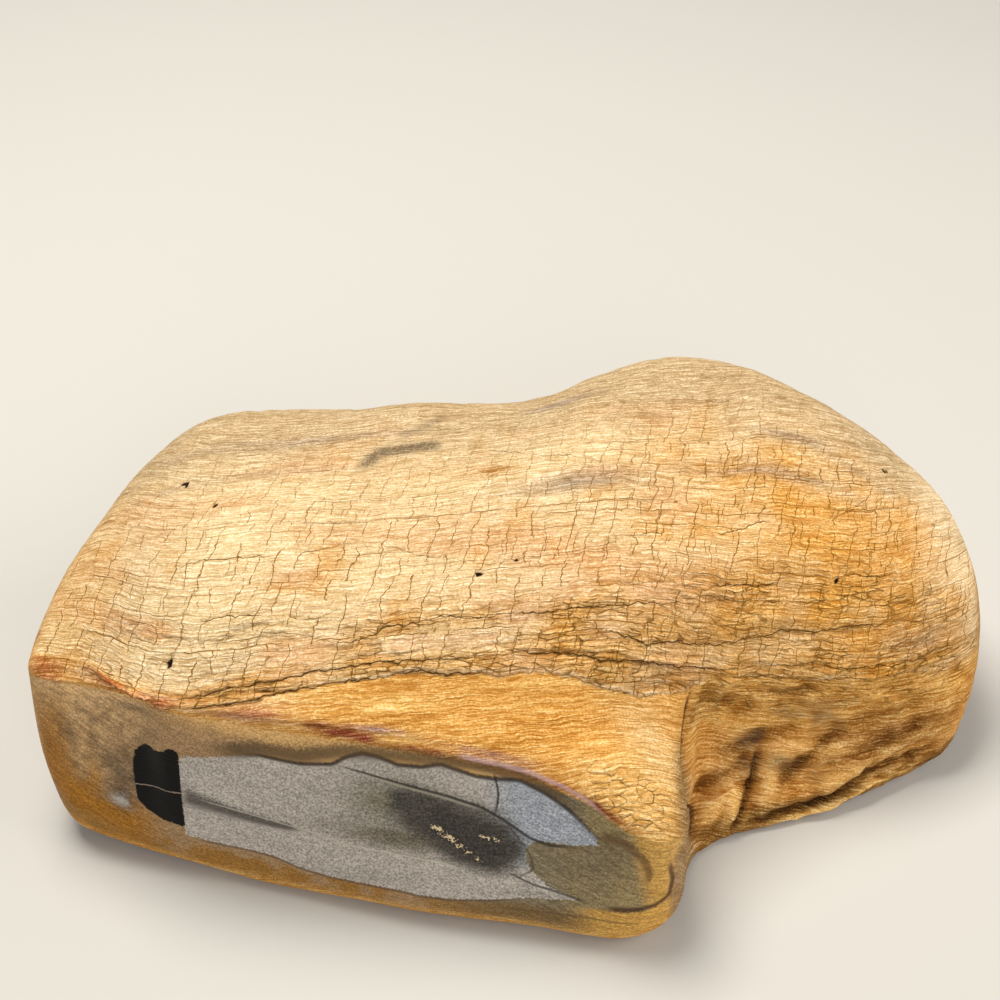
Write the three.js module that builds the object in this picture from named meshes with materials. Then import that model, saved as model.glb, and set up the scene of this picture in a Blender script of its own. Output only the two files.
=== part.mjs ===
// Petrified wood: a hand-sized piece of a fossil log, one solid stone of about 229 x 142 x 73 mm.
// The grain runs along X. The front is a flat cut or worn face, the right front corner of it a
// rounded knob, and right of the knob the side falls back into a hollow over a low lip.
// The skin is made as a grid. X is given by the rings, and the way round a ring by a rail number:
// rail 0 lies under the front edge, rail 3 is the rim of the front face, rail 8 the highest line,
// and rails 9 to 12 come down the back and under.
import * as THREE from "three";

// Driving dimensions, in millimetres.
const LEFT_TIP = new THREE.Vector3(-114.2, -25, 43);
const RIGHT_TIP = new THREE.Vector3(115, 8, 28);
const LEFT_ROUNDING = 10; // how far from its tip the left end starts to close
const RIGHT_ROUNDING = 15;
const LEFT_BLUNTNESS = 3; // 2 closes an end as an ellipse, more as a blunter dome
const RIGHT_BLUNTNESS = 3;
const MIDDLE_X = 0.4; // the middle of the stone's outline, which becomes the origin
const MIDDLE_Y = -0.84;
const WORN_AWAY = 0.35; // rubbed off the lowest points, which leaves the small flat spot

// Mesh fineness.
const RINGS = 76;
const SLOPE_STEP = 0.02; // the step used to measure the skin's slope

// Each rail is a line along the stone that pulls the skin towards it: [x, y, z] in millimetres.
// Sharpness 1 gives a soft round there, and 5 a crisp edge.
const RAILS = [
  {
    name: "sole_front",
    sharpness: 1,
    points: [
      [-111, -24, 2.5], [-98, -33, 1.2], [-66, -42, 0.4], [-20, -52, 0], [16, -57, 0],
      [27, -57, 0], [34.5, -50, 0], [41, -36, 0], [60, -27, 0], [85, -18, 0.6], [104, -10, 1.4],
      [115, -4, 3],
    ],
  },
  {
    name: "toe",
    sharpness: 1.3,
    points: [
      [-111, -38.5, 4], [-104, -42.5, 2], [-88, -48.4, 0.5], [-66, -53.3, 0], [-28, -62.7, 0],
      [5, -68, 0], [19, -69.4, 0], [26, -68.7, 0.5], [32.4, -65.6, 1], [36, -61, 1],
      [39, -52.5, 1], [42, -48, 0.5], [53, -41.8, 0.5], [75, -34, 0.5], [97, -22.8, 1],
      [108, -18, 3], [115, -10, 8],
    ],
  },
  {
    name: "lower_rim",
    sharpness: 2,
    points: [
      [-111, -39.5, 15], [-104, -43.9, 14], [-88, -49.4, 12], [-66, -54.2, 11], [-28, -63.8, 11],
      [5, -69.6, 11], [19, -71.7, 11], [26, -71.3, 12], [32.5, -68, 14], [36.3, -61, 14],
      [38.5, -50, 10], [42, -44, 7], [53, -38.5, 7], [75, -34, 7], [97, -23.9, 7],
      [108, -19, 9], [115, -12, 14],
    ],
  },
  {
    name: "upper_rim",
    sharpness: 5,
    points: [
      [-111, -30, 45.5], [-97, -35, 48.5], [-86, -39, 49.5], [-80, -43, 50], [-56, -48.5, 50],
      [-30, -52, 48], [-6, -56.5, 45], [12, -61, 41], [21, -66, 37], [28, -67.5, 34],
      [32.5, -64.5, 32], [35.5, -58, 28], [38.5, -45, 16], [42, -38.5, 11], [53, -33.3, 12],
      [75, -29, 12], [97, -22, 12], [108, -18, 17], [115, -12, 22],
    ],
  },
  {
    name: "band",
    sharpness: 1,
    points: [
      [-111, -29, 47], [-97, -34, 50], [-84, -42.5, 50.8], [-58, -47.5, 51.8], [-35, -50, 51],
      [-14, -52, 49.5], [3, -54, 47], [14, -55.5, 45], [23, -57.5, 43.5], [29.5, -58, 41],
      [34, -56, 37], [37.5, -46, 27], [42, -33.5, 20], [55, -29, 19.5], [75, -26, 19],
      [95, -21, 18.5], [106, -17, 21], [115, -11, 25],
    ],
  },
  {
    name: "saddle",
    sharpness: 1,
    points: [
      [-111, -27, 48], [-100, -32, 50.5], [-84, -41.5, 51.3], [-58, -45, 53], [-35, -46, 53.5],
      [-14, -46.5, 52.5], [3, -46, 50], [20, -43, 45.5], [29, -41, 43], [34, -40.5, 41],
      [38, -37, 36], [42, -31, 32], [55, -26, 29], [75, -23, 27], [95, -19, 26],
      [106, -14, 27], [115, -9, 28],
    ],
  },
  {
    name: "ledge",
    sharpness: 2.5,
    points: [
      [-111, -26, 48.5], [-100, -31, 51.5], [-84, -40, 52], [-72, -42.5, 53], [-58, -42, 55.5],
      [-35, -41, 57], [-14, -39.5, 58], [3, -38, 58], [20, -35.5, 57], [33, -33, 53],
      [40, -30, 48], [48, -27, 43], [55, -24, 40], [65, -23, 37.5], [80, -21.5, 35],
      [91, -18, 34], [104, -11, 33], [115, -6, 33],
    ],
  },
  {
    name: "brow",
    sharpness: 1,
    points: [
      [-111, -12, 50], [-100, -16, 55], [-84, -22, 61], [-58, -22, 65], [-20, -20, 67],
      [20, -18, 68], [45, -14, 62], [60, -8, 58], [80, -6, 53], [98, -4, 46], [115, -2, 37],
    ],
  },
  {
    name: "crown",
    sharpness: 1,
    points: [
      [-111, 8, 47.5], [-98, 16.5, 58.7], [-82, 21, 66], [-60, 23, 68.6], [-30, 25, 71],
      [0, 26, 71.5], [20, 30, 75], [38, 33.5, 75.8], [60, 32, 75], [78, 26.5, 68.8], [95, 19.5, 58.6],
      [108, 14, 50], [115, 10, 45],
    ],
  },
  {
    name: "shoulder",
    sharpness: 1.2,
    points: [
      [-111, 18, 42.5], [-98, 35.5, 54], [-82, 46.8, 61.6], [-60, 50.2, 63.4], [-30, 50, 65],
      [0, 51, 66], [20, 58.5, 69.5], [38, 61.9, 71.4], [60, 58.5, 70], [78, 51.5, 63.2],
      [95, 43.5, 56], [108, 32, 50], [115, 22, 45.5],
    ],
  },
  {
    name: "back",
    sharpness: 1,
    points: [
      [-111, 21, 27], [-98, 41, 31], [-82, 54, 34], [-60, 58, 35], [-30, 60, 36],
      [0, 61, 36], [24, 69, 38], [40, 73, 38], [62, 69, 38], [78, 61, 37], [95, 52, 36],
      [108, 40, 34], [115, 28, 32],
    ],
  },
  {
    name: "heel",
    sharpness: 1,
    points: [
      [-111, 15, 10], [-98, 30, 7], [-82, 43, 5], [-40, 52, 4], [0, 53, 4], [40, 62, 4],
      [78, 53, 5], [95, 44, 6], [108, 33, 10], [115, 24, 14],
    ],
  },
  {
    name: "sole_back",
    sharpness: 1,
    points: [
      [-111, 6, 3], [-60, 26, 0.6], [0, 32, 0], [44, 36, 0], [80, 30, 0.8], [115, 14, 4],
    ],
  },
];

// Cracks and broken ledges that follow the grain. route gives the rail number along X, deep the
// depth in millimetres along X, width the half width in rails, and phase the start of the wander.
// At a ledge the crust above the route stands proud of the wood below it, and thins out again over
// reach rails.
const GRAIN_LINES = [
  {
    name: "lower_ledge",
    width: 0.1,
    phase: 0.4,
    reach: 0.5,
    route: [
      [-111, 5.6], [-81, 5.7], [-49, 5.6], [-31, 5.6], [-14, 5.7], [9, 5.5], [19, 5.42],
      [30, 5.55], [39, 5.75], [58, 5.88], [64, 5.7], [78, 5.62], [91, 5.75], [104, 5.6],
      [115, 5.6],
    ],
    deep: [[-100, 0], [-75, 0.8], [-49, 1.5], [0, 1.3], [30, 0.8], [60, 1.2], [85, 0.8], [108, 0]],
  },
  {
    name: "upper_ledge",
    width: 0.06,
    phase: 2.2,
    reach: 0.45,
    route: [
      [-111, 6.3], [-91, 6.36], [-78, 6.38], [-49, 6.14], [-31, 6.1], [-10, 6.2], [4, 6.07],
      [20, 5.89], [27, 5.84], [39, 5.98], [56, 6.12], [69, 6.26], [89, 6.3], [115, 6.28],
    ],
    deep: [[-100, 0], [-78, 0.5], [-49, 1], [-10, 1.2], [20, 1], [40, 1.3], [70, 0.9], [108, 0]],
  },
  {
    name: "main_crack",
    width: 0.045,
    phase: 1.1,
    route: [
      [-111, 6.62], [-87, 6.61], [-55, 6.5], [-40, 6.57], [-24, 6.5], [8, 6.5], [21, 6.46],
      [33, 6.35], [42, 6.34], [55, 6.39], [72, 6.45], [105, 6.61], [115, 6.62],
    ],
    deep: [[-90, 0], [-62, 0.8], [-24, 0.8], [20, 0.9], [36, 1.1], [72, 1], [106, 0.2], [114, 0]],
  },
  {
    name: "middle_crack",
    width: 0.03,
    phase: 3.6,
    route: [
      [-111, 7.25], [-83, 7.22], [-65, 7.19], [-44, 7.08], [-2, 7.01], [16, 6.8], [35, 6.76],
      [72, 6.83], [95, 7.1], [115, 7.3],
    ],
    deep: [[-96, 0], [-70, 0.6], [-10, 0.4], [20, 0.7], [70, 0.9], [104, 0.3], [114, 0]],
  },
  {
    name: "high_crack",
    width: 0.03,
    phase: 5.2,
    route: [[-111, 7.5], [-67, 7.44], [-30, 7.4], [18, 7.4], [63, 7.37], [91, 7.5], [115, 7.7]],
    deep: [[-96, 0], [-60, 0.5], [0, 0.4], [50, 0.6], [76, 0.8], [100, 0]],
  },
  {
    name: "back_crack",
    width: 0.035,
    phase: 0.9,
    route: [[-111, 8.3], [-81, 8.22], [-65, 8.09], [-48, 7.98], [-2, 8.02], [18, 7.87], [115, 8]],
    deep: [[-100, 0], [-70, 0.5], [-30, 0.7], [20, 0.7], [60, 0.6], [100, 0]],
  },
  {
    name: "rear_ledge",
    width: 0.08,
    phase: 4.3,
    reach: 0.6,
    route: [[-111, 9.2], [-60, 9], [-10, 9.12], [40, 8.98], [80, 9.1], [115, 9.2]],
    deep: [[-104, 0], [-60, 1.3], [-10, 0.6], [40, 1.4], [80, 1], [106, 0]],
  },
  {
    name: "rear_crack",
    width: 0.06,
    phase: 2.8,
    route: [[-111, 10.1], [-70, 9.95], [-20, 10.1], [30, 9.9], [76, 10.05], [115, 10.1]],
    deep: [[-104, 0], [-70, 1], [-20, 1.4], [30, 0.7], [76, 1.2], [104, 0]],
  },
];

// Low swells and hollows: centre on the skin, half sizes along X and in rails, and height.
const SWELLS = [
  { name: "ridge_in_hollow", x: 49, rail: 3.45, wide: 7, tall: 0.25, height: 1.5 },
  { name: "bump_by_knob", x: 46, rail: 2.6, wide: 3.5, tall: 0.3, height: 1.2 },
  { name: "hollow_by_knob", x: 58, rail: 4.5, wide: 11, tall: 0.8, height: -1.4 },
  { name: "hollow_right", x: 84, rail: 4.6, wide: 12, tall: 0.9, height: -1 },
  { name: "dip_in_crown", x: -6, rail: 8.3, wide: 22, tall: 0.5, height: -0.4 },
  { name: "left_brow", x: -78, rail: 7, wide: 18, tall: 0.5, height: 0.6 },
  { name: "rear_hollow", x: -52, rail: 9.7, wide: 24, tall: 0.6, height: -2.2 },
  { name: "rear_swell", x: 26, rail: 10.4, wide: 24, tall: 0.6, height: 1.6 },
  { name: "rear_hollow_right", x: 76, rail: 9.8, wide: 16, tall: 0.7, height: -1.8 },
  { name: "pit_left", x: -78, rail: 6.38, wide: 1.6, tall: 0.07, height: -1.4 },
];

// Waves of the whole skin: length in millimetres, the direction it runs in, and height.
const WAVES = [
  { along: new THREE.Vector3(1, 0.2, 0.1), length: 74, height: 0.55, phase: 0.7 },
  { along: new THREE.Vector3(0.5, 1, -0.4), length: 53, height: 0.5, phase: 2.1 },
  { along: new THREE.Vector3(1, -0.8, 0.6), length: 39, height: 0.4, phase: 4 },
  { along: new THREE.Vector3(-0.3, 0.9, 1), length: 27, height: 0.25, phase: 1.2 },
];
const WAVES_LEFT = 0.3; // share of them on the flat front face and on the underside, worn smooth

// Value at x of a smooth curve through points [x, a, b, ...], with the slope at each point that
// of the line between its neighbours. Beyond the ends it goes on straight.
function along(points, x) {
  const last = points.length - 1;
  const slope = (i) => {
    const before = points[Math.max(i - 1, 0)];
    const after = points[Math.min(i + 1, last)];
    return before.map((value, k) => (after[k] - value) / (after[0] - before[0]));
  };
  if (x <= points[0][0]) {
    return slope(0).slice(1).map((m, k) => points[0][k + 1] + m * (x - points[0][0]));
  }
  if (x >= points[last][0]) {
    return slope(last).slice(1).map((m, k) => points[last][k + 1] + m * (x - points[last][0]));
  }
  let i = 0;
  while (points[i + 1][0] < x) i += 1;
  const span = points[i + 1][0] - points[i][0];
  const t = (x - points[i][0]) / span;
  const from = slope(i);
  const to = slope(i + 1);
  return points[i].slice(1).map((a, k) => {
    const b = points[i + 1][k + 1];
    return (2 * t ** 3 - 3 * t ** 2 + 1) * a + (t ** 3 - 2 * t ** 2 + t) * span * from[k + 1]
      + (3 * t ** 2 - 2 * t ** 3) * b + (t ** 3 - t ** 2) * span * to[k + 1];
  });
}

// Value at x of straight lines through points [x, value], level beyond the ends.
function straight(points, x) {
  if (x <= points[0][0]) return points[0][1];
  for (let i = 1; i < points.length; i += 1) {
    const [x0, a] = points[i - 1];
    const [x1, b] = points[i];
    if (x <= x1) return THREE.MathUtils.mapLinear(x, x0, x1, a, b);
  }
  return points.at(-1)[1];
}

// Share of its full size that a section has at x: a superellipse from the tip inwards.
function closing(x, tip, rounding, bluntness) {
  const depth = THREE.MathUtils.clamp(Math.abs(tip.x - x) / rounding, 0, 1);
  return (1 - (1 - depth) ** bluntness) ** (1 / bluntness);
}

// A point of the plain form, before cracks and lumps. Round a ring the skin is a chain of rational
// curves: each runs from halfway to one neighbouring rail to halfway to the other.
function plainPoint(x, rail) {
  const count = RAILS.length;
  const at = (i) => new THREE.Vector3(x, ...along(RAILS[(i + count) % count].points, x));
  const nearest = Math.floor(rail + 0.5);
  const t = rail + 0.5 - nearest;
  const pull = at(nearest);
  const from = at(nearest - 1).add(pull).multiplyScalar(0.5);
  const to = at(nearest + 1).add(pull).multiplyScalar(0.5);
  const { sharpness } = RAILS[(nearest + count) % count];
  const weights = [(1 - t) ** 2, 2 * t * (1 - t) * sharpness, t ** 2];
  const total = weights[0] + weights[1] + weights[2];
  const point = from.multiplyScalar(weights[0])
    .addScaledVector(pull, weights[1])
    .addScaledVector(to, weights[2])
    .divideScalar(total);
  for (const [tip, rounding, bluntness] of [
    [LEFT_TIP, LEFT_ROUNDING, LEFT_BLUNTNESS],
    [RIGHT_TIP, RIGHT_ROUNDING, RIGHT_BLUNTNESS],
  ]) {
    const size = closing(x, tip, rounding, bluntness);
    point.y = tip.y + (point.y - tip.y) * size;
    point.z = tip.z + (point.z - tip.z) * size;
  }
  return point;
}

// Where a grain line runs at x, with the small wander of a split in wood.
function routeAt(line, x) {
  const wander = Math.sin(x / 5.3 + line.phase) + 0.6 * Math.sin(x / 2.9 + 2 * line.phase);
  return along(line.route, x)[0] + 0.22 * line.width * wander;
}

// How far the skin at x is worn smooth, from 0 to 1: on the front face left of the knob, and under
// the stone from its heel to its toe.
function wornSmooth(x, rail) {
  const { smoothstep } = THREE.MathUtils;
  const face = smoothstep(rail, 1.2, 2) * (1 - smoothstep(rail, 2.9, 3.6)) * (1 - smoothstep(x, 28, 40));
  const underside = smoothstep(rail, 11.4, 12.2) + 1 - smoothstep(rail, 0.7, 1.4);
  return Math.max(face, underside);
}

// Height of the skin over the plain form at a point, in millimetres.
function relief(x, rail, point) {
  let height = 0;
  for (const line of GRAIN_LINES) {
    const off = (rail - routeAt(line, x)) / line.width;
    const deep = straight(line.deep, x);
    if (line.reach) {
      const crust = THREE.MathUtils.smoothstep(off, -1, 1);
      height += deep * crust * Math.exp(-Math.max(off * line.width, 0) / line.reach);
    } else {
      height -= deep * Math.max(1 - Math.abs(off), 0);
    }
  }
  for (const swell of SWELLS) {
    const across = (x - swell.x) / swell.wide;
    const up = (rail - swell.rail) / swell.tall;
    height += swell.height * Math.exp(-across * across - up * up);
  }
  let wave = 0;
  for (const { along: direction, length, height: tall, phase } of WAVES) {
    const way = direction.clone().normalize().dot(point);
    wave += tall * Math.sin((2 * Math.PI * way) / length + phase);
  }
  return height + wave * (1 - (1 - WAVES_LEFT) * wornSmooth(x, rail));
}

// A point of the finished skin: the plain point moved along the slope's normal by the relief, then
// cut off level at the flat spot and measured from the origin.
function skinPoint(x, rail) {
  const point = plainPoint(x, rail);
  const lengthwise = plainPoint(x + SLOPE_STEP, rail).sub(plainPoint(x - SLOPE_STEP, rail));
  const roundwise = plainPoint(x, rail + SLOPE_STEP).sub(plainPoint(x, rail - SLOPE_STEP));
  const normal = lengthwise.cross(roundwise).normalize();
  const ends = closing(x, LEFT_TIP, LEFT_ROUNDING, 1) * closing(x, RIGHT_TIP, RIGHT_ROUNDING, 1);
  point.addScaledVector(normal, relief(x, rail, point) * Math.min(2 * ends, 1));
  return settled(point);
}

// The point in the part's own frame, with nothing lower than the flat spot.
function settled(point) {
  return new THREE.Vector3(
    point.x - MIDDLE_X,
    point.y - MIDDLE_Y,
    Math.max(point.z - WORN_AWAY, 0),
  );
}

// X of each ring: close together towards both tips and beside the knob, where the form turns fast.
function ringPlaces() {
  const crowding = (x) => 1 + 5 * Math.exp(-(((x - LEFT_TIP.x) / 4) ** 2))
    + 5 * Math.exp(-(((x - RIGHT_TIP.x) / 5) ** 2)) + 1.6 * Math.exp(-(((x - 38) / 7) ** 2));
  const samples = 2000;
  const step = (RIGHT_TIP.x - LEFT_TIP.x) / samples;
  const sums = [0];
  for (let i = 0; i < samples; i += 1) {
    sums.push(sums[i] + crowding(LEFT_TIP.x + (i + 0.5) * step));
  }
  const places = [];
  for (let ring = 1, i = 1; ring <= RINGS; ring += 1) {
    const wanted = (sums[samples] * ring) / (RINGS + 1);
    while (sums[i] < wanted) i += 1;
    const part = (wanted - sums[i - 1]) / (sums[i] - sums[i - 1]);
    places.push(LEFT_TIP.x + (i - 1 + part) * step);
  }
  return places;
}

// Rail numbers of the grid's lines at x. The lines run along the cracks, so that each crack has a
// line in its floor and one on either side.
function gridLines(x) {
  const count = RAILS.length;
  const front = [0, 0.5, 1, 1.33, 1.67, 2, 2.3, 2.5, 2.62, 2.78, 3, 3.22, 3.4, 3.7, 4.2, 4.7, 5.1];
  const between = [0, 0, 0, 1, 0, 1, 2, 1];
  const lines = [...front];
  GRAIN_LINES.forEach((line, k) => {
    const middle = routeAt(line, x);
    const start = lines.at(-1);
    for (let i = 1; i <= between[k]; i += 1) {
      lines.push(THREE.MathUtils.lerp(start, middle - line.width, i / (between[k] + 1)));
    }
    lines.push(middle - line.width, middle, middle + line.width);
  });
  const start = lines.at(-1);
  const rest = 6;
  for (let i = 1; i <= rest; i += 1) lines.push(THREE.MathUtils.lerp(start, count, i / (rest + 1)));
  return lines;
}

// The whole skin as one closed surface: a grid between the tips, and a fan at each of them.
function stoneGeometry() {
  const vertices = [];
  const faces = [];
  const rings = ringPlaces();
  let around = 0;
  for (const x of rings) {
    const lines = gridLines(x);
    around = lines.length;
    for (const rail of lines) vertices.push(skinPoint(x, rail));
  }
  const left = vertices.push(settled(LEFT_TIP)) - 1;
  const right = vertices.push(settled(RIGHT_TIP)) - 1;
  const end = (rings.length - 1) * around;
  for (let j = 0; j < around; j += 1) {
    const next = (j + 1) % around;
    faces.push(left, j, next);
    faces.push(end + j, right, end + next);
    for (let i = 0; i < rings.length - 1; i += 1) {
      const near = i * around;
      const far = near + around;
      faces.push(near + j, far + j, far + next);
      faces.push(near + j, far + next, near + next);
    }
  }
  const geometry = new THREE.BufferGeometry().setFromPoints(vertices);
  geometry.setIndex(faces);
  geometry.computeVertexNormals();
  return geometry;
}

const agedWoodStone = new THREE.MeshStandardMaterial({
  name: "silicified_wood",
  color: "#cda566",
  roughness: 0.72,
  metalness: 0,
});

const stone = new THREE.Mesh(stoneGeometry(), agedWoodStone);
stone.name = "petrified_wood";

const specimen = new THREE.Group();
specimen.name = "specimen";
specimen.add(stone);

export default specimen;
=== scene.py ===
import math

import bpy
import numpy as np
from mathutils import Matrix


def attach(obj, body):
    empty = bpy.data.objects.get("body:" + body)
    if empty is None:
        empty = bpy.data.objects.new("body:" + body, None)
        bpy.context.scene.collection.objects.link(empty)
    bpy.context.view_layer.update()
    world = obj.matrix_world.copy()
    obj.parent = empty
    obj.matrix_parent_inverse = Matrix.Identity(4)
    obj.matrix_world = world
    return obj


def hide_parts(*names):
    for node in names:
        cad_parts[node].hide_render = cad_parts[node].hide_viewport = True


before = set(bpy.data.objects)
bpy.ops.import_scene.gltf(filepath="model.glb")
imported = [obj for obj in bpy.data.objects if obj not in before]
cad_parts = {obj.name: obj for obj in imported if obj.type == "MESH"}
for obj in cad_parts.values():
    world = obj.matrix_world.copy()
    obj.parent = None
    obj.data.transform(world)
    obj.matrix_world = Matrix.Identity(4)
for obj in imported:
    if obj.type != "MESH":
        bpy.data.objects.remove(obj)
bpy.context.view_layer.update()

# The stone's form. The real piece is a stretch of fossil log, silica in place of the wood, broken
# and weathered all round but for the front, which is cut and worn flat. It is one solid, and its
# skin is a grid: x runs along the grain, and a rail number says how far round the stone it is.
MM = 0.001
LEFT_TIP, RIGHT_TIP = (-114.2, -25.0, 43.0), (115.0, 8.0, 28.0)
LEFT_ROUNDING, RIGHT_ROUNDING = 10.0, 15.0  # how far from its tip an end starts to close
END_BLUNTNESS = 3.0
MIDDLE = np.array([0.4, -0.84, 0.0])  # the middle of the outline, which is the origin
WORN_AWAY = 0.35  # rubbed off the lowest points, which leaves the flat spot it rests on

# Each rail pulls the skin towards it: its sharpness (1 soft, 5 a crisp edge) and points x, y, z in mm.
# Its number is its place in this list: 3 is the front's upper rim, 6 the ledge, 8 the crown, 10 the back.
RAILS = [
    ("sole_front", 1.0, [
        (-111, -24, 2.5), (-98, -33, 1.2), (-66, -42, 0.4), (-20, -52, 0), (16, -57, 0), (27, -57, 0),
        (34.5, -50, 0), (41, -36, 0), (60, -27, 0), (85, -18, 0.6), (104, -10, 1.4), (115, -4, 3)]),
    ("toe", 1.3, [
        (-111, -38.5, 4), (-104, -42.5, 2), (-88, -48.4, 0.5), (-66, -53.3, 0), (-28, -62.7, 0),
        (5, -68, 0), (19, -69.4, 0), (26, -68.7, 0.5), (32.4, -65.6, 1), (36, -61, 1), (39, -52.5, 1),
        (42, -48, 0.5), (53, -41.8, 0.5), (75, -34, 0.5), (97, -22.8, 1), (108, -18, 3), (115, -10, 8)]),
    ("lower_rim", 2.0, [
        (-111, -39.5, 15), (-104, -43.9, 14), (-88, -49.4, 12), (-66, -54.2, 11), (-28, -63.8, 11),
        (5, -69.6, 11), (19, -71.7, 11), (26, -71.3, 12), (32.5, -68, 14), (36.3, -61, 14),
        (38.5, -50, 10), (42, -44, 7), (53, -38.5, 7), (75, -34, 7), (97, -23.9, 7), (108, -19, 9),
        (115, -12, 14)]),
    ("upper_rim", 5.0, [
        (-111, -30, 45.5), (-97, -35, 48.5), (-86, -39, 49.5), (-80, -43, 50), (-56, -48.5, 50),
        (-30, -52, 48), (-6, -56.5, 45), (12, -61, 41), (21, -66, 37), (28, -67.5, 34),
        (32.5, -64.5, 32), (35.5, -58, 28), (38.5, -45, 16), (42, -38.5, 11), (53, -33.3, 12),
        (75, -29, 12), (97, -22, 12), (108, -18, 17), (115, -12, 22)]),
    ("band", 1.0, [
        (-111, -29, 47), (-97, -34, 50), (-84, -42.5, 50.8), (-58, -47.5, 51.8), (-35, -50, 51),
        (-14, -52, 49.5), (3, -54, 47), (14, -55.5, 45), (23, -57.5, 43.5), (29.5, -58, 41),
        (34, -56, 37), (37.5, -46, 27), (42, -33.5, 20), (55, -29, 19.5), (75, -26, 19),
        (95, -21, 18.5), (106, -17, 21), (115, -11, 25)]),
    ("saddle", 1.0, [
        (-111, -27, 48), (-100, -32, 50.5), (-84, -41.5, 51.3), (-58, -45, 53), (-35, -46, 53.5),
        (-14, -46.5, 52.5), (3, -46, 50), (20, -43, 45.5), (29, -41, 43), (34, -40.5, 41),
        (38, -37, 36), (42, -31, 32), (55, -26, 29), (75, -23, 27), (95, -19, 26), (106, -14, 27),
        (115, -9, 28)]),
    ("ledge", 2.5, [
        (-111, -26, 48.5), (-100, -31, 51.5), (-84, -40, 52), (-72, -42.5, 53), (-58, -42, 55.5),
        (-35, -41, 57), (-14, -39.5, 58), (3, -38, 58), (20, -35.5, 57), (33, -33, 53),
        (40, -30, 48), (48, -27, 43), (55, -24, 40), (65, -23, 37.5), (80, -21.5, 35), (91, -18, 34),
        (104, -11, 33), (115, -6, 33)]),
    ("brow", 1.0, [
        (-111, -12, 50), (-100, -16, 55), (-84, -22, 61), (-58, -22, 65), (-20, -20, 67),
        (20, -18, 68), (45, -14, 62), (60, -8, 58), (80, -6, 53), (98, -4, 46), (115, -2, 37)]),
    ("crown", 1.0, [
        (-111, 8, 47.5), (-98, 16.5, 58.7), (-82, 21, 66), (-60, 23, 68.6), (-30, 25, 71),
        (0, 26, 71.5), (20, 30, 75), (38, 33.5, 75.8), (60, 32, 75), (78, 26.5, 68.8),
        (95, 19.5, 58.6), (108, 14, 50), (115, 10, 45)]),
    ("shoulder", 1.2, [
        (-111, 18, 42.5), (-98, 35.5, 54), (-82, 46.8, 61.6), (-60, 50.2, 63.4), (-30, 50, 65),
        (0, 51, 66), (20, 58.5, 69.5), (38, 61.9, 71.4), (60, 58.5, 70), (78, 51.5, 63.2),
        (95, 43.5, 56), (108, 32, 50), (115, 22, 45.5)]),
    ("back", 1.0, [
        (-111, 21, 27), (-98, 41, 31), (-82, 54, 34), (-60, 58, 35), (-30, 60, 36), (0, 61, 36),
        (24, 69, 38), (40, 73, 38), (62, 69, 38), (78, 61, 37), (95, 52, 36), (108, 40, 34),
        (115, 28, 32)]),
    ("heel", 1.0, [
        (-111, 15, 10), (-98, 30, 7), (-82, 43, 5), (-40, 52, 4), (0, 53, 4), (40, 62, 4),
        (78, 53, 5), (95, 44, 6), (108, 33, 10), (115, 24, 14)]),
    ("sole_back", 1.0, [
        (-111, 6, 3), (-60, 26, 0.6), (0, 32, 0), (44, 36, 0), (80, 30, 0.8), (115, 14, 4)]),
]
SHARPNESS = np.array([rail[1] for rail in RAILS])
ROUND = len(RAILS)  # rail numbers start again after this many

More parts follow.
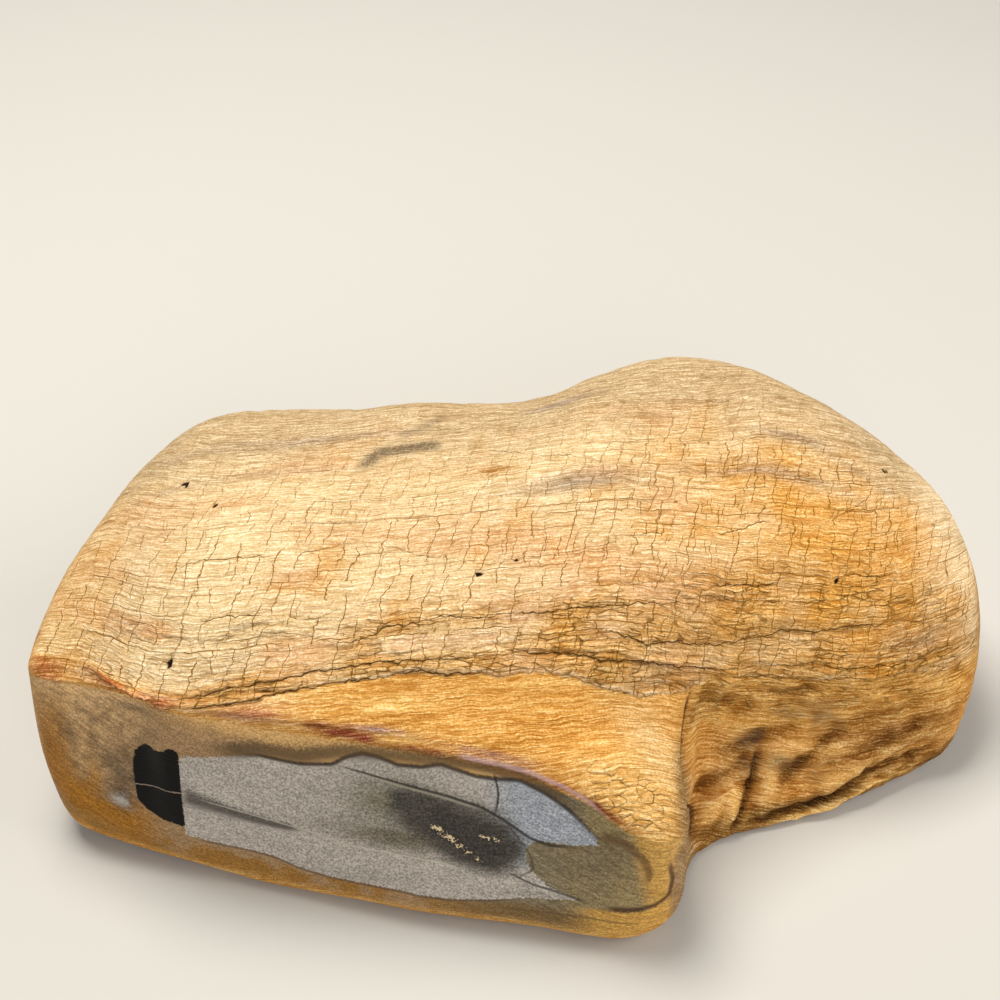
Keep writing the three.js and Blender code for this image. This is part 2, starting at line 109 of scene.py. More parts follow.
# Splits along the grain, from the edge of the crust upwards: the height in mm by which the crust above
# one stands proud (0 for a plain crack, less for one where the crust below does), and its course as x,
# rail and how far open it is, 0 to 1.
SPLITS = [
    (0.8, [(-111, 3.05, 0), (-88, 3.0, 0.3), (-80, 3.05, 0.6), (-70.7, 4.12, 0.8), (-59.3, 5.01, 0.9),
           (-48.7, 5.56, 1), (-42, 5.67, 1), (-27, 5.76, 1), (-6, 5.7, 0.9), (7, 5.63, 0.7),
           (20, 5.46, 0.5), (33, 5.45, 0.3), (46, 5.75, 0.3), (57, 5.85, 0.7), (66, 5.75, 0.8),
           (79, 5.83, 0.7), (90, 5.8, 0.6), (102, 5.55, 0.3), (115, 5.5, 0)]),
    (0.6, [(-111, 5.2, 0), (-90, 4.3, 0.3), (-78.4, 4.5, 0.6), (-70.7, 5.5, 0.8), (-61, 5.7, 0.9),
           (-49, 5.99, 0.9), (-31.5, 6.1, 0.7), (-12, 6.14, 0.5), (6.7, 6.1, 0.8), (16, 5.94, 1),
           (30, 5.83, 1), (40, 5.86, 1), (50, 6.08, 0.8), (61, 6.12, 0.6), (79, 6.15, 0.7),
           (100, 6.1, 0.5), (115, 6, 0)]),
    (0.7, [(-111, 6.2, 0), (-49, 6.28, 0), (12, 6.34, 0), (19, 6.33, 0.8), (25, 6.26, 1), (28, 6.2, 1),
           (32.5, 6.3, 1), (43, 6.36, 1), (54, 6.42, 1), (69, 6.48, 0.9), (85, 6.55, 0.8),
           (100, 6.6, 0.5), (115, 6.62, 0)]),
    (0.25, [(-111, 6.55, 0), (-62, 6.55, 0.3), (-50, 6.48, 0.5), (-43, 6.44, 0.9), (-35, 6.44, 0.9),
           (-28, 6.5, 1), (-6, 6.52, 1), (8, 6.53, 1), (21, 6.55, 0.9), (30, 6.62, 0.6), (39.5, 6.7, 0.4),
           (60, 6.68, 0.5), (80, 6.76, 0.5), (100, 6.85, 0.3), (115, 6.9, 0)]),
    (0, [(-111, 6.75, 0), (-80, 6.7, 0.3), (-68, 6.7, 0.7), (-58, 6.7, 0.7), (-50, 6.65, 0.6),
         (-41, 6.68, 0.3), (-20, 6.8, 0.1), (16, 6.8, 0.3), (35, 6.8, 0.5), (54, 6.83, 0.9),
         (64.5, 6.85, 0.9), (77, 6.95, 0.9), (90, 7.09, 0.8), (102, 7.3, 0.4), (115, 7.3, 0)]),
    (0, [(-111, 7.1, 0), (-80, 7.14, 0.5), (-72.6, 7.17, 0.7), (-55, 7.18, 0.5), (-47, 7.21, 0.6),
         (-37, 7.24, 0.3), (-20, 7.1, 0.5), (-2, 7, 0.4), (15, 7.1, 0.3), (30, 7.17, 0.6),
         (50, 7.22, 0.9), (62.6, 7.28, 0.8), (71, 7.36, 0.7), (79, 7.5, 0.6), (90, 7.82, 0.4),
         (115, 7.9, 0)]),
    (0, [(-111, 7.5, 0), (-83, 7.45, 0.4), (-67, 7.44, 0.4), (-30, 7.4, 0.4), (18, 7.45, 0.3),
         (40, 7.5, 0.3), (75, 7.7, 0.2), (90, 8, 0.1), (115, 8.1, 0)]),
    (0, [(-111, 8.2, 0), (-65, 8.1, 0.4), (-30, 8.3, 0.1), (-16, 8.17, 0.7), (-10.5, 7.99, 0.7),
         (-1, 7.87, 0.5), (9.6, 7.75, 0.5), (21, 7.66, 0.3), (50, 7.85, 0.1), (90, 8.2, 0), (115, 8.3, 0)]),
    (0, [(-111, 8.5, 0), (0, 8.4, 0), (17, 8.23, 0.4), (27, 8.27, 0.7), (37, 8.21, 0.7),
         (49, 8.17, 0.5), (60, 8.25, 0.3), (75, 8.4, 0), (115, 8.5, 0)]),
    (-1.3, [(-111, 9.2, 0), (-60, 9, 1), (-10, 9.12, 0.5), (40, 8.98, 1), (80, 9.1, 0.7), (115, 9.2, 0)]),
    (0, [(-111, 10.1, 0), (-70, 9.95, 0.7), (-20, 10.1, 1), (30, 9.9, 0.6), (76, 10.05, 1),
         (115, 10.1, 0)]),
]

# Low swells and hollows: x, rail, half size along x in mm, half size in rails, height in mm.
SWELLS = [
    (50, 3.45, 6, 0.25, 1.6), (46.5, 2.7, 4.5, 0.35, 2.2), (58, 4.5, 11, 0.8, -1.4),
    (84, 4.6, 12, 0.9, -1.0), (43, 3.3, 3, 0.3, -1.2), (55, 2.75, 3, 0.3, -1.3),
    (66, 3.3, 6, 0.4, -1.0), (73, 4.1, 6, 0.4, -0.8), (62, 3.8, 4, 0.3, 0.9),
    (78, 2.9, 10, 0.3, 0.8), (-6, 8.3, 22, 0.5, -0.4), (-78, 7, 18, 0.5, 0.6),
    (-52, 9.7, 24, 0.6, -2.2), (26, 10.4, 24, 0.6, 1.6), (76, 9.8, 16, 0.7, -1.8),
]
# Waves of the whole skin: direction, length in mm, height in mm, start.
WAVES = [
    ((1, 0.2, 0.1), 74, 0.55, 0.7), ((0.5, 1, -0.4), 53, 0.5, 2.1),
    ((1, -0.8, 0.6), 39, 0.4, 4.0), ((-0.3, 0.9, 1), 27, 0.25, 1.2),
]
WAVES_LEFT_WHERE_WORN = 0.3


def smooth(low, high, value):
    """0 below low, 1 above high, and 3t^2 - 2t^3 between, t being the share of the way."""
    t = np.clip((value - low) / (high - low), 0, 1)
    return t * t * (3 - 2 * t)


def fall(low, high, value):
    """The other way round: 1 below low and 0 above high."""
    return 1 - smooth(low, high, value)


def along(points, x):
    """Smooth curve through points (x, a, b...): cubics whose slope at a point is that of the line
    between its neighbours, and straight on beyond the ends."""
    p = np.array(points, float)
    at, value = p[:, 0], p[:, 1:]
    slope = np.empty_like(value)
    slope[1:-1] = (value[2:] - value[:-2]) / (at[2:] - at[:-2])[:, None]
    slope[0] = (value[1] - value[0]) / (at[1] - at[0])
    slope[-1] = (value[-1] - value[-2]) / (at[-1] - at[-2])
    i = np.clip(np.searchsorted(at, x) - 1, 0, len(at) - 2)
    span = (at[i + 1] - at[i])[:, None]
    t = ((x - at[i]) / span[:, 0])[:, None]
    inside = ((2 * t**3 - 3 * t**2 + 1) * value[i] + (t**3 - 2 * t**2 + t) * span * slope[i]
              + (3 * t**2 - 2 * t**3) * value[i + 1] + (t**3 - t**2) * span * slope[i + 1])
    before = value[0] + slope[0] * (x - at[0])[:, None]
    after = value[-1] + slope[-1] * (x - at[-1])[:, None]
    return np.where((x < at[0])[:, None], before, np.where((x > at[-1])[:, None], after, inside))


def plain_form(x, rail):
    """Points of the form without cracks or lumps, for x (n) and rail numbers (n, m). Each stretch is
    a rational curve from halfway to one neighbouring rail to halfway to the other, and near a tip
    the section shrinks towards it as a superellipse."""
    rails = np.stack([along(points, x) for _, _, points in RAILS], 1)
    row = np.arange(len(x))[:, None]
    nearest = np.floor(rail + 0.5).astype(int)
    t = (rail + 0.5 - nearest)[..., None]
    pull = rails[row, nearest % ROUND]
    start = (rails[row, (nearest - 1) % ROUND] + pull) / 2
    end = (rails[row, (nearest + 1) % ROUND] + pull) / 2
    weight = 2 * t * (1 - t) * SHARPNESS[nearest % ROUND][..., None]
    section = (start * (1 - t)**2 + pull * weight + end * t**2) / ((1 - t)**2 + weight + t**2)
    for tip, rounding in ((LEFT_TIP, LEFT_ROUNDING), (RIGHT_TIP, RIGHT_ROUNDING)):
        depth = np.clip(np.abs(tip[0] - x) / rounding, 0, 1)
        size = (1 - (1 - depth)**END_BLUNTNESS)**(1 / END_BLUNTNESS)
        section = np.array(tip[1:]) + (section - np.array(tip[1:])) * size[:, None, None]
    across = np.broadcast_to(x[:, None, None], section.shape[:2] + (1,))
    return np.concatenate([across, section], 2)


def split_routes(x):
    """Rail number and openness of each split at x: its curve, moved across by a wander of two sines
    and small seeded jags, both in mm, which the skin's mm to a rail turn into rails. A split is
    closed here and there, a plain crack more often than a ledge."""
    jag_at = np.arange(-120, 121, 1.3)
    random = np.random.default_rng(5)
    routes, openness = [], []
    for number, (proud, points) in enumerate(SPLITS):
        middle = along([(at, at_rail) for at, at_rail, _ in points], x)
        near = plain_form(x, np.concatenate([middle - 0.05, middle + 0.05], 1))
        to_a_rail = np.linalg.norm(near[:, 1] - near[:, 0], axis=1) / 0.1
        wander = 0.35 * np.sin(x / 5.3 + 1.7 * number) + 0.25 * np.sin(x / 2.3 + 3.1 * number)
        jag = np.interp(x, jag_at, random.uniform(-0.45, 0.45, len(jag_at)))
        breaks = np.interp(x, jag_at[::5], random.uniform(0, 1, len(jag_at[::5])))
        closed = smooth(0.35, 0.6, breaks) if proud == 0 else 0.45 + 0.55 * smooth(0.15, 0.4, breaks)
        routes.append(middle[:, 0] + (wander + jag) / np.maximum(to_a_rail, 6))
        openness.append(np.interp(x, [q[0] for q in points], [q[2] for q in points]) * closed)
    return np.array(routes), np.array(openness)


def worn_smooth(x, rail):
    """How far the skin is worn smooth, 0 to 1: the front face left of the knob, and the underside."""
    face = smooth(1.2, 2, rail) * fall(2.9, 3.6, rail) * fall(28, 40, x[:, None])
    underside = smooth(11.4, 12.2, rail) + 1 - smooth(0.7, 1.4, rail)
    return np.maximum(face, underside)


def broad_relief(x, rail, point, off_mm):
    """Height in mm over the plain form, a sum: at each split a step that dies away as exp(-up / 9) and
    a groove exp(-(off / 0.5)^2), the swells, each exp(-r^2), and a sine for each wave. off_mm holds
    how far each place is from each split, in mm."""
    height = np.zeros(rail.shape)
    for (proud, _), off, opened in zip(SPLITS, off_mm, split_open):
        up = off * (1 if proud >= 0 else -1)
        height += abs(proud) * opened[:, None] * smooth(-0.3, 0.3, up) * np.exp(-np.maximum(up, 0) / 9)
        height -= 0.3 * opened[:, None] * np.exp(-(off / 0.5)**2)
    for at, at_rail, wide, tall, rise in SWELLS:
        height += rise * np.exp(-((x[:, None] - at) / wide)**2 - ((rail - at_rail) / tall)**2)
    wave = 0
    for direction, length, rise, phase in WAVES:
        way = point @ (np.array(direction) / np.linalg.norm(direction))
        wave = wave + rise * np.sin(2 * np.pi * way / length + phase)
    return height + wave * (1 - (1 - WAVES_LEFT_WHERE_WORN) * worn_smooth(x, rail))


HASH_PRIMES = np.array([73856093, 19349663, 83492791])
SEED_PRIME = 2654435761


def lattice_noise(p, seed):
    """Smooth noise, -1 to 1, at points p in cells of 1: each lattice corner has a value from a hash
    of its whole numbers, and the eight round a point are blended by 3t^2 - 2t^3 along each axis."""
    cell = np.floor(p).astype(np.int64)
    t = p - cell
    t = t * t * (3 - 2 * t)
    total = np.zeros(p.shape[:-1])
    for corner in range(8):
        step = np.array([corner & 1, corner >> 1 & 1, corner >> 2 & 1])
        key = (cell + step) @ HASH_PRIMES + seed * SEED_PRIME
        key = (key ^ key >> 13) * 1274126177 & 0x7FFFFFFF
        key = (key ^ key >> 16) * 668265263 & 0x7FFFFFFF
        share = np.prod(np.where(step == 1, t, 1 - t), axis=-1)
        total += share * (key / 0x3FFFFFFF - 1)
    return total


def ridges(p, seed, octaves):
    """Sharp-crested noise, 0 to 1: 1 - |noise|, squared, each octave twice as fine and half as high."""
    total, size, reach = 0, 1.0, 0
    for octave in range(octaves):
        total = total + size * (1 - np.abs(lattice_noise(p * 2**octave, seed + octave)))**2
        reach += size
        size /= 2
    return total / reach


def sawtooth(way, drop):
    """Rises from 0 to 1 over each whole number and falls back within the last drop of it."""
    part = way - np.floor(way)
    return np.where(part < 1 - drop, part / (1 - drop), (1 - part) / drop)


def line_offset(p, points):
    """Signed distance in mm of points p (..., 2) from a line through the given points, and how far
    along the line the nearest place is, 0 to 1: the least distance to any piece, with the sign of
    the cross product of that piece and the way to the point."""
    points = np.array(points, float)
    lengths = np.linalg.norm(np.diff(points, axis=0), axis=1)
    begun = np.concatenate([[0], np.cumsum(lengths)]) / lengths.sum()
    least, sign, way = np.full(p.shape[:-1], 1e6), np.ones(p.shape[:-1]), np.zeros(p.shape[:-1])
    for i, (a, b) in enumerate(zip(points[:-1], points[1:])):
        run, to = b - a, p - a
        t = np.clip(to @ run / (run @ run), 0, 1)
        distance = np.linalg.norm(to - t[..., None] * run, axis=-1)
        nearer = distance < least
        side = np.sign(run[0] * to[..., 1] - run[1] * to[..., 0])
        least = np.where(nearer, distance, least)
        sign = np.where(nearer, side, sign)
        way = np.where(nearer, begun[i] + t * (begun[i + 1] - begun[i]), way)
    return sign * least, way


# The crease between the knob and the hollow, x at each rail.
KNOB_CREASE = np.array([(1.4, 41), (2.7, 40.4), (3.6, 37.5), (4.3, 36.4), (5.1, 37.6), (5.7, 38.4)])
# Folds in the hollow beside the knob: half width and height in mm, how dark, and points x, z. The
# darkness is painted shade in a groove, and where it is below 0, painted highlight on a crest.
HOLLOW_FOLDS = [
    (1.6, -1.0, 0.6, [(38.5, 12.4), (41.5, 13.8), (44.6, 13.9), (47.7, 14.2), (51, 16), (55, 18.6)]),
    (2.6, 1.7, -0.5, [(41, 7.6), (43, 9), (45, 10), (47.5, 10), (49.8, 8.3), (49.2, 4)]),
    (0.8, -1.3, 0.7, [(57, 20), (55.2, 16), (54.5, 12.4), (52.7, 8.5), (51.1, 6), (49, 2.2)]),
    (2.0, 0.9, -0.4, [(56, 6), (57.5, 10), (59, 14), (61, 17), (66.2, 17.5), (73.7, 15.6), (80, 16)]),
    (1.4, -0.6, 0.6, [(59, 9.8), (62.5, 11.6), (64.8, 13), (69, 15.6), (71.6, 18.1), (76, 19.6),
                      (80, 19.5)]),
    (1.4, -0.5, 0.5, [(44, 20.2), (49.7, 19.9), (52.6, 20.6), (57, 21.4), (62.4, 22.4), (67, 24)]),
    (2.2, 0.5, -0.3, [(44, 25), (52, 25), (60, 26.5), (70, 27)]),
    (2.6, -1.0, 0.45, [(39.2, 43), (41.5, 39), (43.9, 36.1), (49.3, 31.4), (56, 29)]),
    (1.3, -2.0, 1.0, [(51, 3.4), (57.9, 4.1), (67.4, 4.8), (73.5, 6), (79.6, 7.8), (85.1, 9), (93.8, 8.6),
                      (99.2, 9), (106, 12)]),
    (0.8, 0.7, -0.8, [(56, 1.8), (67, 2.4), (77.2, 3.6), (84.6, 6.2), (94.6, 5.4), (103, 7.6)]),
    (1.6, -0.5, 0.3, [(66, 11.4), (74, 12.4), (83, 14), (92, 16), (104, 21)]),
    (1.6, 0.7, -0.3, [(68, 8.4), (76, 9.8), (84, 11.4), (92, 13), (104, 16)]),
    (1.2, -0.4, 0.3, [(70, 22.4), (80, 22), (90, 22.6), (100, 26)]),
    (1.0, -0.6, 0.6, [(56, 34.5), (60, 33), (66, 33.4), (70, 32.4)]),
]


def tapered(way, start, end):
    """How strong a line is along its way, 0 to 1: it comes in until start and fades from end on."""
    return smooth(0, start, way) * fall(end, 1, way)


def fine_relief(x, rail, point, across, off_mm):
    """Height in mm of the weathering, a sum of noises, each times where it lies: grain furrows and
    broken terraces in the crust, a crackled knob, flow lines in the saddle and a lumpy hollow, with
    a fold exp(-(off / half)^2) along each line; the worn front has next to none."""
    grain = np.stack([np.broadcast_to(x[:, None] / 16, rail.shape), across / 1.7, point[..., 2] / 9], -1)
    # Where each kind of weathering lies, 0 to 1.
    worn = worn_smooth(x, rail)
    crust = smooth(-0.4, 0.4, off_mm[0]) * fall(11.3, 12, rail)
    ledges = smooth(-1, 1, off_mm[0]) * fall(0.05, 0.35, rail - split_at[3][:, None])
    ledges = ledges * smooth(-104, -84, x)[:, None] * (1 - smooth(98, 112, x)[:, None])
    right_of_knob = smooth(36, 41, x)[:, None] * (1 - crust)
    knob = np.exp(-((x[:, None] - 23) / 13)**4 - ((rail - 3.65) / 0.5)**4)
    # The noises, and the height of each kind.
    furrows = ridges(grain, 11, 3) - 0.6
    lumps = lattice_noise(point / 7.5, 21) + 0.5 * lattice_noise(point / 3.4, 22)
    crumbs = lattice_noise(point / 1.9, 23)
    height = furrows * (0.2 * crust + 0.45 * ledges + 0.3 * right_of_knob)
    height += 0.12 * lumps * crust + (0.5 * lumps + 0.25 * crumbs) * right_of_knob
    bent = 1.1 * lattice_noise(grain * [1.1, 0.25, 1], 31) + 0.32 * lattice_noise(point / 2.2, 32)
    breaks = smooth(-0.4, 0.2, lattice_noise(grain * [0.9, 0.35, 1], 33))
    height -= 0.6 * sawtooth(across / 2.9 + bent, 0.2) * ledges * breaks
    height -= 0.7 * knob * (1 - ridges(point / [3.4, 1.8, 1.8], 41, 2))
    height += 0.1 * (furrows + lumps) * (1 - crust) * (1 - right_of_knob) * (1 - worn)
    back = smooth(8.6, 9.6, rail) * fall(11.3, 12, rail)
    height += 0.5 * (ridges(grain * [0.8, 0.5, 0.5], 51, 2) - 0.6) * back + 0.3 * lumps * back
    crease = np.interp(rail, *KNOB_CREASE.T)
    creased = np.exp(-((x[:, None] - crease) / 1.1)**2)
    height -= 1.3 * creased * smooth(1.4, 2, rail) * fall(5.3, 5.8, rail)
    across_hollow = np.stack([x[:, None] - MIDDLE[0] + 0 * rail, point[..., 2] + 0.5 * crumbs], -1)
    for half, rise, _, points in HOLLOW_FOLDS:
        off, way = line_offset(across_hollow, points)
        ends = tapered(way, 0.2, 0.8) * right_of_knob * (rail > 1)
        height += rise * ends * np.exp(-(off / half)**2)
    return height + 0.03 * lumps * worn


# Pits in the crust: x, rail, radius and depth in mm.
PITS = [
    (-78.4, 6.39, 1.0, 1.6), (-81.6, 7.87, 0.9, 1.0), (-72.6, 7.62, 0.6, 0.6), (-10.2, 6.93, 0.8, 1.0),
    (-2.2, 7.04, 0.7, 0.8), (90.6, 8.16, 0.9, 1.0), (74.0, 6.9, 0.7, 0.7),
]

RINGS, LINES = 296, 330  # rings stand along x, and lines go round
# Share of the lines spent on each stretch between rails: fine on the top and front, coarse below.
LINE_DENSITY = [
    (0, 0.5), (1, 0.9), (1.5, 1.2), (2.4, 1.7), (2.8, 1.3), (3.2, 1.3), (3.8, 1.0), (5.2, 1.3),
    (5.6, 1.8), (6.6, 2.1), (7, 2.2), (8, 1.9), (8.6, 1.1), (9.5, 0.8), (11, 0.6), (12.5, 0.7), (13, 0.5),
]


def evenly_by(density, low, high, count):
    """count places from low to high, as close together as density says: the density is summed up
    and the sum cut into equal parts."""
    fine = np.linspace(low, high, 4001)
    total = np.concatenate([[0], np.cumsum(density((fine[1:] + fine[:-1]) / 2))])
    return np.interp(np.linspace(0, total[-1], count), total, fine)


def ring_density(x):
    """Rings stand closer at both tips and beside the knob, where the form turns fast."""
    return (1 + 5 * np.exp(-((x - LEFT_TIP[0]) / 4)**2) + 5 * np.exp(-((x - RIGHT_TIP[0]) / 5)**2)
            + 1.2 * np.exp(-((x - 38) / 7)**2))


x = evenly_by(ring_density, LEFT_TIP[0], RIGHT_TIP[0], RINGS + 2)[1:-1]
steady = evenly_by(lambda s: np.interp(s, *np.array(LINE_DENSITY).T), 0, ROUND, LINES + 1)[:-1]
# The lines are shifted so that one follows each split: steady rail numbers in, real ones out. Below
# the face's upper edge they stay, and no split may come lower than 4.9, or too close to the last one.
split_at, split_open = split_routes(x)
FACE_TOP, LOWEST_SPLIT, SPLIT_SPACING = 2.9, 4.9, 0.15
mean_at = np.array([0, FACE_TOP, 5.55, 6.0, 6.38, 6.55, 6.8, 7.15, 7.5, 8.0, 8.3, 9.05, 10.0, ROUND])
for place in mean_at[2:-1]:
    steady[np.argmin(np.abs(steady - place))] = place
lowest = LOWEST_SPLIT + SPLIT_SPACING * np.arange(len(SPLITS))
real_at = np.concatenate([np.full((1, RINGS), 0.0), np.full((1, RINGS), FACE_TOP),
                          np.maximum(split_at, lowest[:, None]), np.full((1, RINGS), float(ROUND))]).T
part = np.clip(np.searchsorted(mean_at, steady, side="right") - 1, 0, len(mean_at) - 2)
share = (steady - mean_at[part]) / (mean_at[part + 1] - mean_at[part])
rail = real_at[:, part] * (1 - share) + real_at[:, part + 1] * share

plain = plain_form(x, rail)
STEP = 0.02  # of x in mm, and of a rail
lengthwise = plain_form(x + STEP, rail) - plain_form(x - STEP, rail)
roundwise = plain_form(x, rail + STEP) - plain_form(x, rail - STEP)
normal = np.cross(lengthwise, roundwise)
normal /= np.maximum(np.linalg.norm(normal, axis=2), 1e-12)[..., None]

# Distance round the stone in mm, measured on each ring from the ledge, for patterns of the grain.
closed = np.concatenate([plain, plain[:, :1]], 1)
around = np.concatenate([np.zeros((RINGS, 1)),
                         np.cumsum(np.linalg.norm(np.diff(closed, axis=1), axis=2), 1)], 1)
ledge_at = np.array([np.interp(6.0, rail[i], around[i, :-1]) for i in range(RINGS)])
around -= ledge_at[:, None]
across = around[:, :-1]

end_left = np.clip((x - LEFT_TIP[0]) / LEFT_ROUNDING, 0, 1)
end_right = np.clip((RIGHT_TIP[0] - x) / RIGHT_ROUNDING, 0, 1)
fade = np.minimum(2 * end_left * end_right, 1)[:, None]
mm_to_a_rail = np.gradient(across, axis=1) / np.gradient(rail, axis=1)
off_mm = (rail - split_at[..., None]) * mm_to_a_rail
height = (broad_relief(x, rail, plain, off_mm) + fine_relief(x, rail, plain, across, off_mm)) * fade
pit = np.zeros(rail.shape)
for at, at_rail, radius, depth in PITS:
    i = np.argmin(np.abs(x - at))
    middle = np.interp(at_rail, rail[i], across[i])
    away = np.hypot(x[:, None] - at, across - middle)
    hole = fall(0.55 * radius, 1.25 * radius, away)
    height -= depth * hole
    pit = np.maximum(pit, hole)
skin = plain + normal * height[..., None] - MIDDLE
skin[..., 2] = np.maximum(skin[..., 2] - WORN_AWAY, 0)
tips = np.array([LEFT_TIP, RIGHT_TIP]) - MIDDLE - [0, 0, WORN_AWAY]

# The mesh: a quad between neighbouring rings and lines, and a fan of triangles at each tip.
ring, line = np.meshgrid(np.arange(RINGS - 1), np.arange(LINES), indexing="ij")
after = (line + 1) % LINES
quads = np.stack([ring * LINES + line, (ring + 1) * LINES + line,
                  (ring + 1) * LINES + after, ring * LINES + after], -1).reshape(-1, 4)
j = np.arange(LINES)
last = (RINGS - 1) * LINES
left_fan = np.stack([np.full(LINES, RINGS * LINES), j, (j + 1) % LINES], 1)
right_fan = np.stack([last + j, np.full(LINES, RINGS * LINES + 1), last + (j + 1) % LINES], 1)
vertices = np.concatenate([skin.reshape(-1, 3), tips]) * MM
mesh = bpy.data.meshes.new("petrified_wood_skin")
mesh.from_pydata(vertices.tolist(), [], quads.tolist() + left_fan.tolist() + right_fan.tolist())
mesh.polygons.foreach_set("use_smooth", np.ones(len(mesh.polygons), bool))


def corner_map(name, grid, left, right):
    """A UV map from a value at each ring and line, with one more line than the mesh so that it has a
    seam where the lines close, and a value at each line for the left and the right tip."""
    near = (slice(None), slice(0, LINES))
    far = (slice(None), slice(1, LINES + 1))
    corners = np.stack([grid[:-1][near], grid[1:][near], grid[1:][far], grid[:-1][far]], 2)
    left_corners = np.stack([left, grid[0, :-1], grid[0, 1:]], 1)
    right_corners = np.stack([grid[-1, :-1], right, grid[-1, 1:]], 1)
    values = np.concatenate([c.reshape(-1, 2) for c in (corners, left_corners, right_corners)])
    mesh.uv_layers.new(name=name).data.foreach_set("uv", values.astype(np.float32).ravel())


# "grain" holds millimetres along and across the grain, and "OFBake" the same grid from 0 to 1.
lengths = np.broadcast_to(x[:, None], around.shape)
grain_grid = np.stack([lengths, around], -1)
corner_map("grain", grain_grid,
           np.stack([np.full(LINES, LEFT_TIP[0]), around[0, :-1]], 1),
           np.stack([np.full(LINES, RIGHT_TIP[0]), around[-1, :-1]], 1))
MARGIN = 0.002  # left free at the edges of the map
u = MARGIN + (1 - 2 * MARGIN) * (np.arange(RINGS) + 1) / (RINGS + 1)
v = MARGIN + (1 - 2 * MARGIN) * np.arange(LINES + 1) / LINES
bake_grid = np.stack(np.meshgrid(u, v, indexing="ij"), -1)
tip_v = v[:-1] + 0.5 / LINES
corner_map("OFBake", bake_grid, np.stack([np.full(LINES, MARGIN), tip_v], 1),
           np.stack([np.full(LINES, 1 - MARGIN), tip_v], 1))


def mark(name, value, at_tips=0.0):
    """Keeps a value for each ring and line as an attribute of the mesh's vertices."""
    layer = mesh.attributes.new(name, "FLOAT", "POINT")
    values = np.concatenate([np.broadcast_to(value, rail.shape).ravel(), [at_tips, at_tips]])
    layer.data.foreach_set("value", values.astype(np.float32))


def outline_distance(p, corners):
    """Distance in mm of points p (..., 2) from a closed outline, positive inside: the least distance
    to any side, with the sign from how often a ray to +x crosses the outline."""
    a = np.array(corners, float)
    inside = np.zeros(p.shape[:-1], bool)
    for (x0, y0), (x1, y1) in zip(a, np.roll(a, -1, 0)):
        if y0 != y1:
            crosses = (p[..., 1] > y0) != (p[..., 1] > y1)
            inside ^= crosses & (p[..., 0] < x0 + (p[..., 1] - y0) * (x1 - x0) / (y1 - y0))
    return np.where(inside, 1, -1) * np.abs(line_offset(p, np.concatenate([a, a[:1]]))[0])


# Outlines on the front face, seen from the front: x and z in mm. The cut shows the heart of the log,
# where the chalcedony is grey, with black and dark patches and some pale flecks in it.
GREY_ZONE = [
    (-78, 36.6), (-72, 37.3), (-65, 39.1), (-59, 40.6), (-52.7, 40.1), (-49.6, 39.9), (-42.3, 40.9),
    (-39.5, 42.9), (-35.8, 44.3), (-32.7, 43.9), (-28, 42.3), (-22.8, 42.4), (-18.8, 43.6),
    (-14.9, 42.6), (-11.3, 41.7), (-7.2, 41.6), (-1.6, 42.1), (3.8, 39.9), (8.7, 37.1), (14.1, 32.5),
    (16.6, 30.4), (10.4, 28.6), (0.6, 28.1), (-0.5, 24), (1, 20.5), (5, 17.2), (11.5, 14.9),
    (6.3, 13.9), (0.8, 13.3), (-8.4, 11.1), (-16, 9.7), (-23.9, 9.4), (-28.5, 10), (-36.7, 9.9),
    (-44.6, 9.7), (-51.6, 10.5), (-57.3, 12.4), (-62.7, 12.8), (-71.5, 12.9), (-78.3, 13.6),
]
BLACK_PATCH = [
    (-89, 32.9), (-87.2, 35.3), (-85.1, 36.6), (-83.5, 35.8), (-81.7, 36), (-79.6, 38.2), (-77.6, 37.3),
    (-77.9, 26.3), (-78.1, 15.9), (-79.6, 16.3), (-83.4, 16.9), (-87.1, 18.6), (-89.1, 20.7),
    (-89.4, 24.3), (-89.5, 28.9),
]
DARK_PATCH = [
    (-30, 37), (-25, 37.6), (-18, 36), (-10, 34), (-5, 31.8), (-0.6, 28.4), (-0.3, 24), (-2.5, 20.5),
    (-7, 18.6), (-12, 19), (-18, 22), (-24, 26), (-29.5, 30),
]
DARK_CORE = [
    (-21, 33), (-12.4, 31.4), (-6, 29), (-3, 25), (-4.5, 21.4), (-8.5, 20), (-12.5, 21.2),
    (-17.4, 24), (-21.5, 28.4),
]
FLECKS = [
    (-23.4, 29.9), (-20.2, 28.9), (-17, 27.2), (-14.6, 24.9), (-10, 21.4), (-9.6, 20.2), (-12.4, 21.8),
    (-16.4, 24.4), (-20.6, 27.2),
]
FLECKS_BESIDE = [(-10.8, 27.9), (-8.5, 27.4), (-6, 27.4), (-6, 26.3), (-8.6, 26), (-10.6, 26.7)]
FAR = -40.0  # mm outside an outline, for what isn't on the face
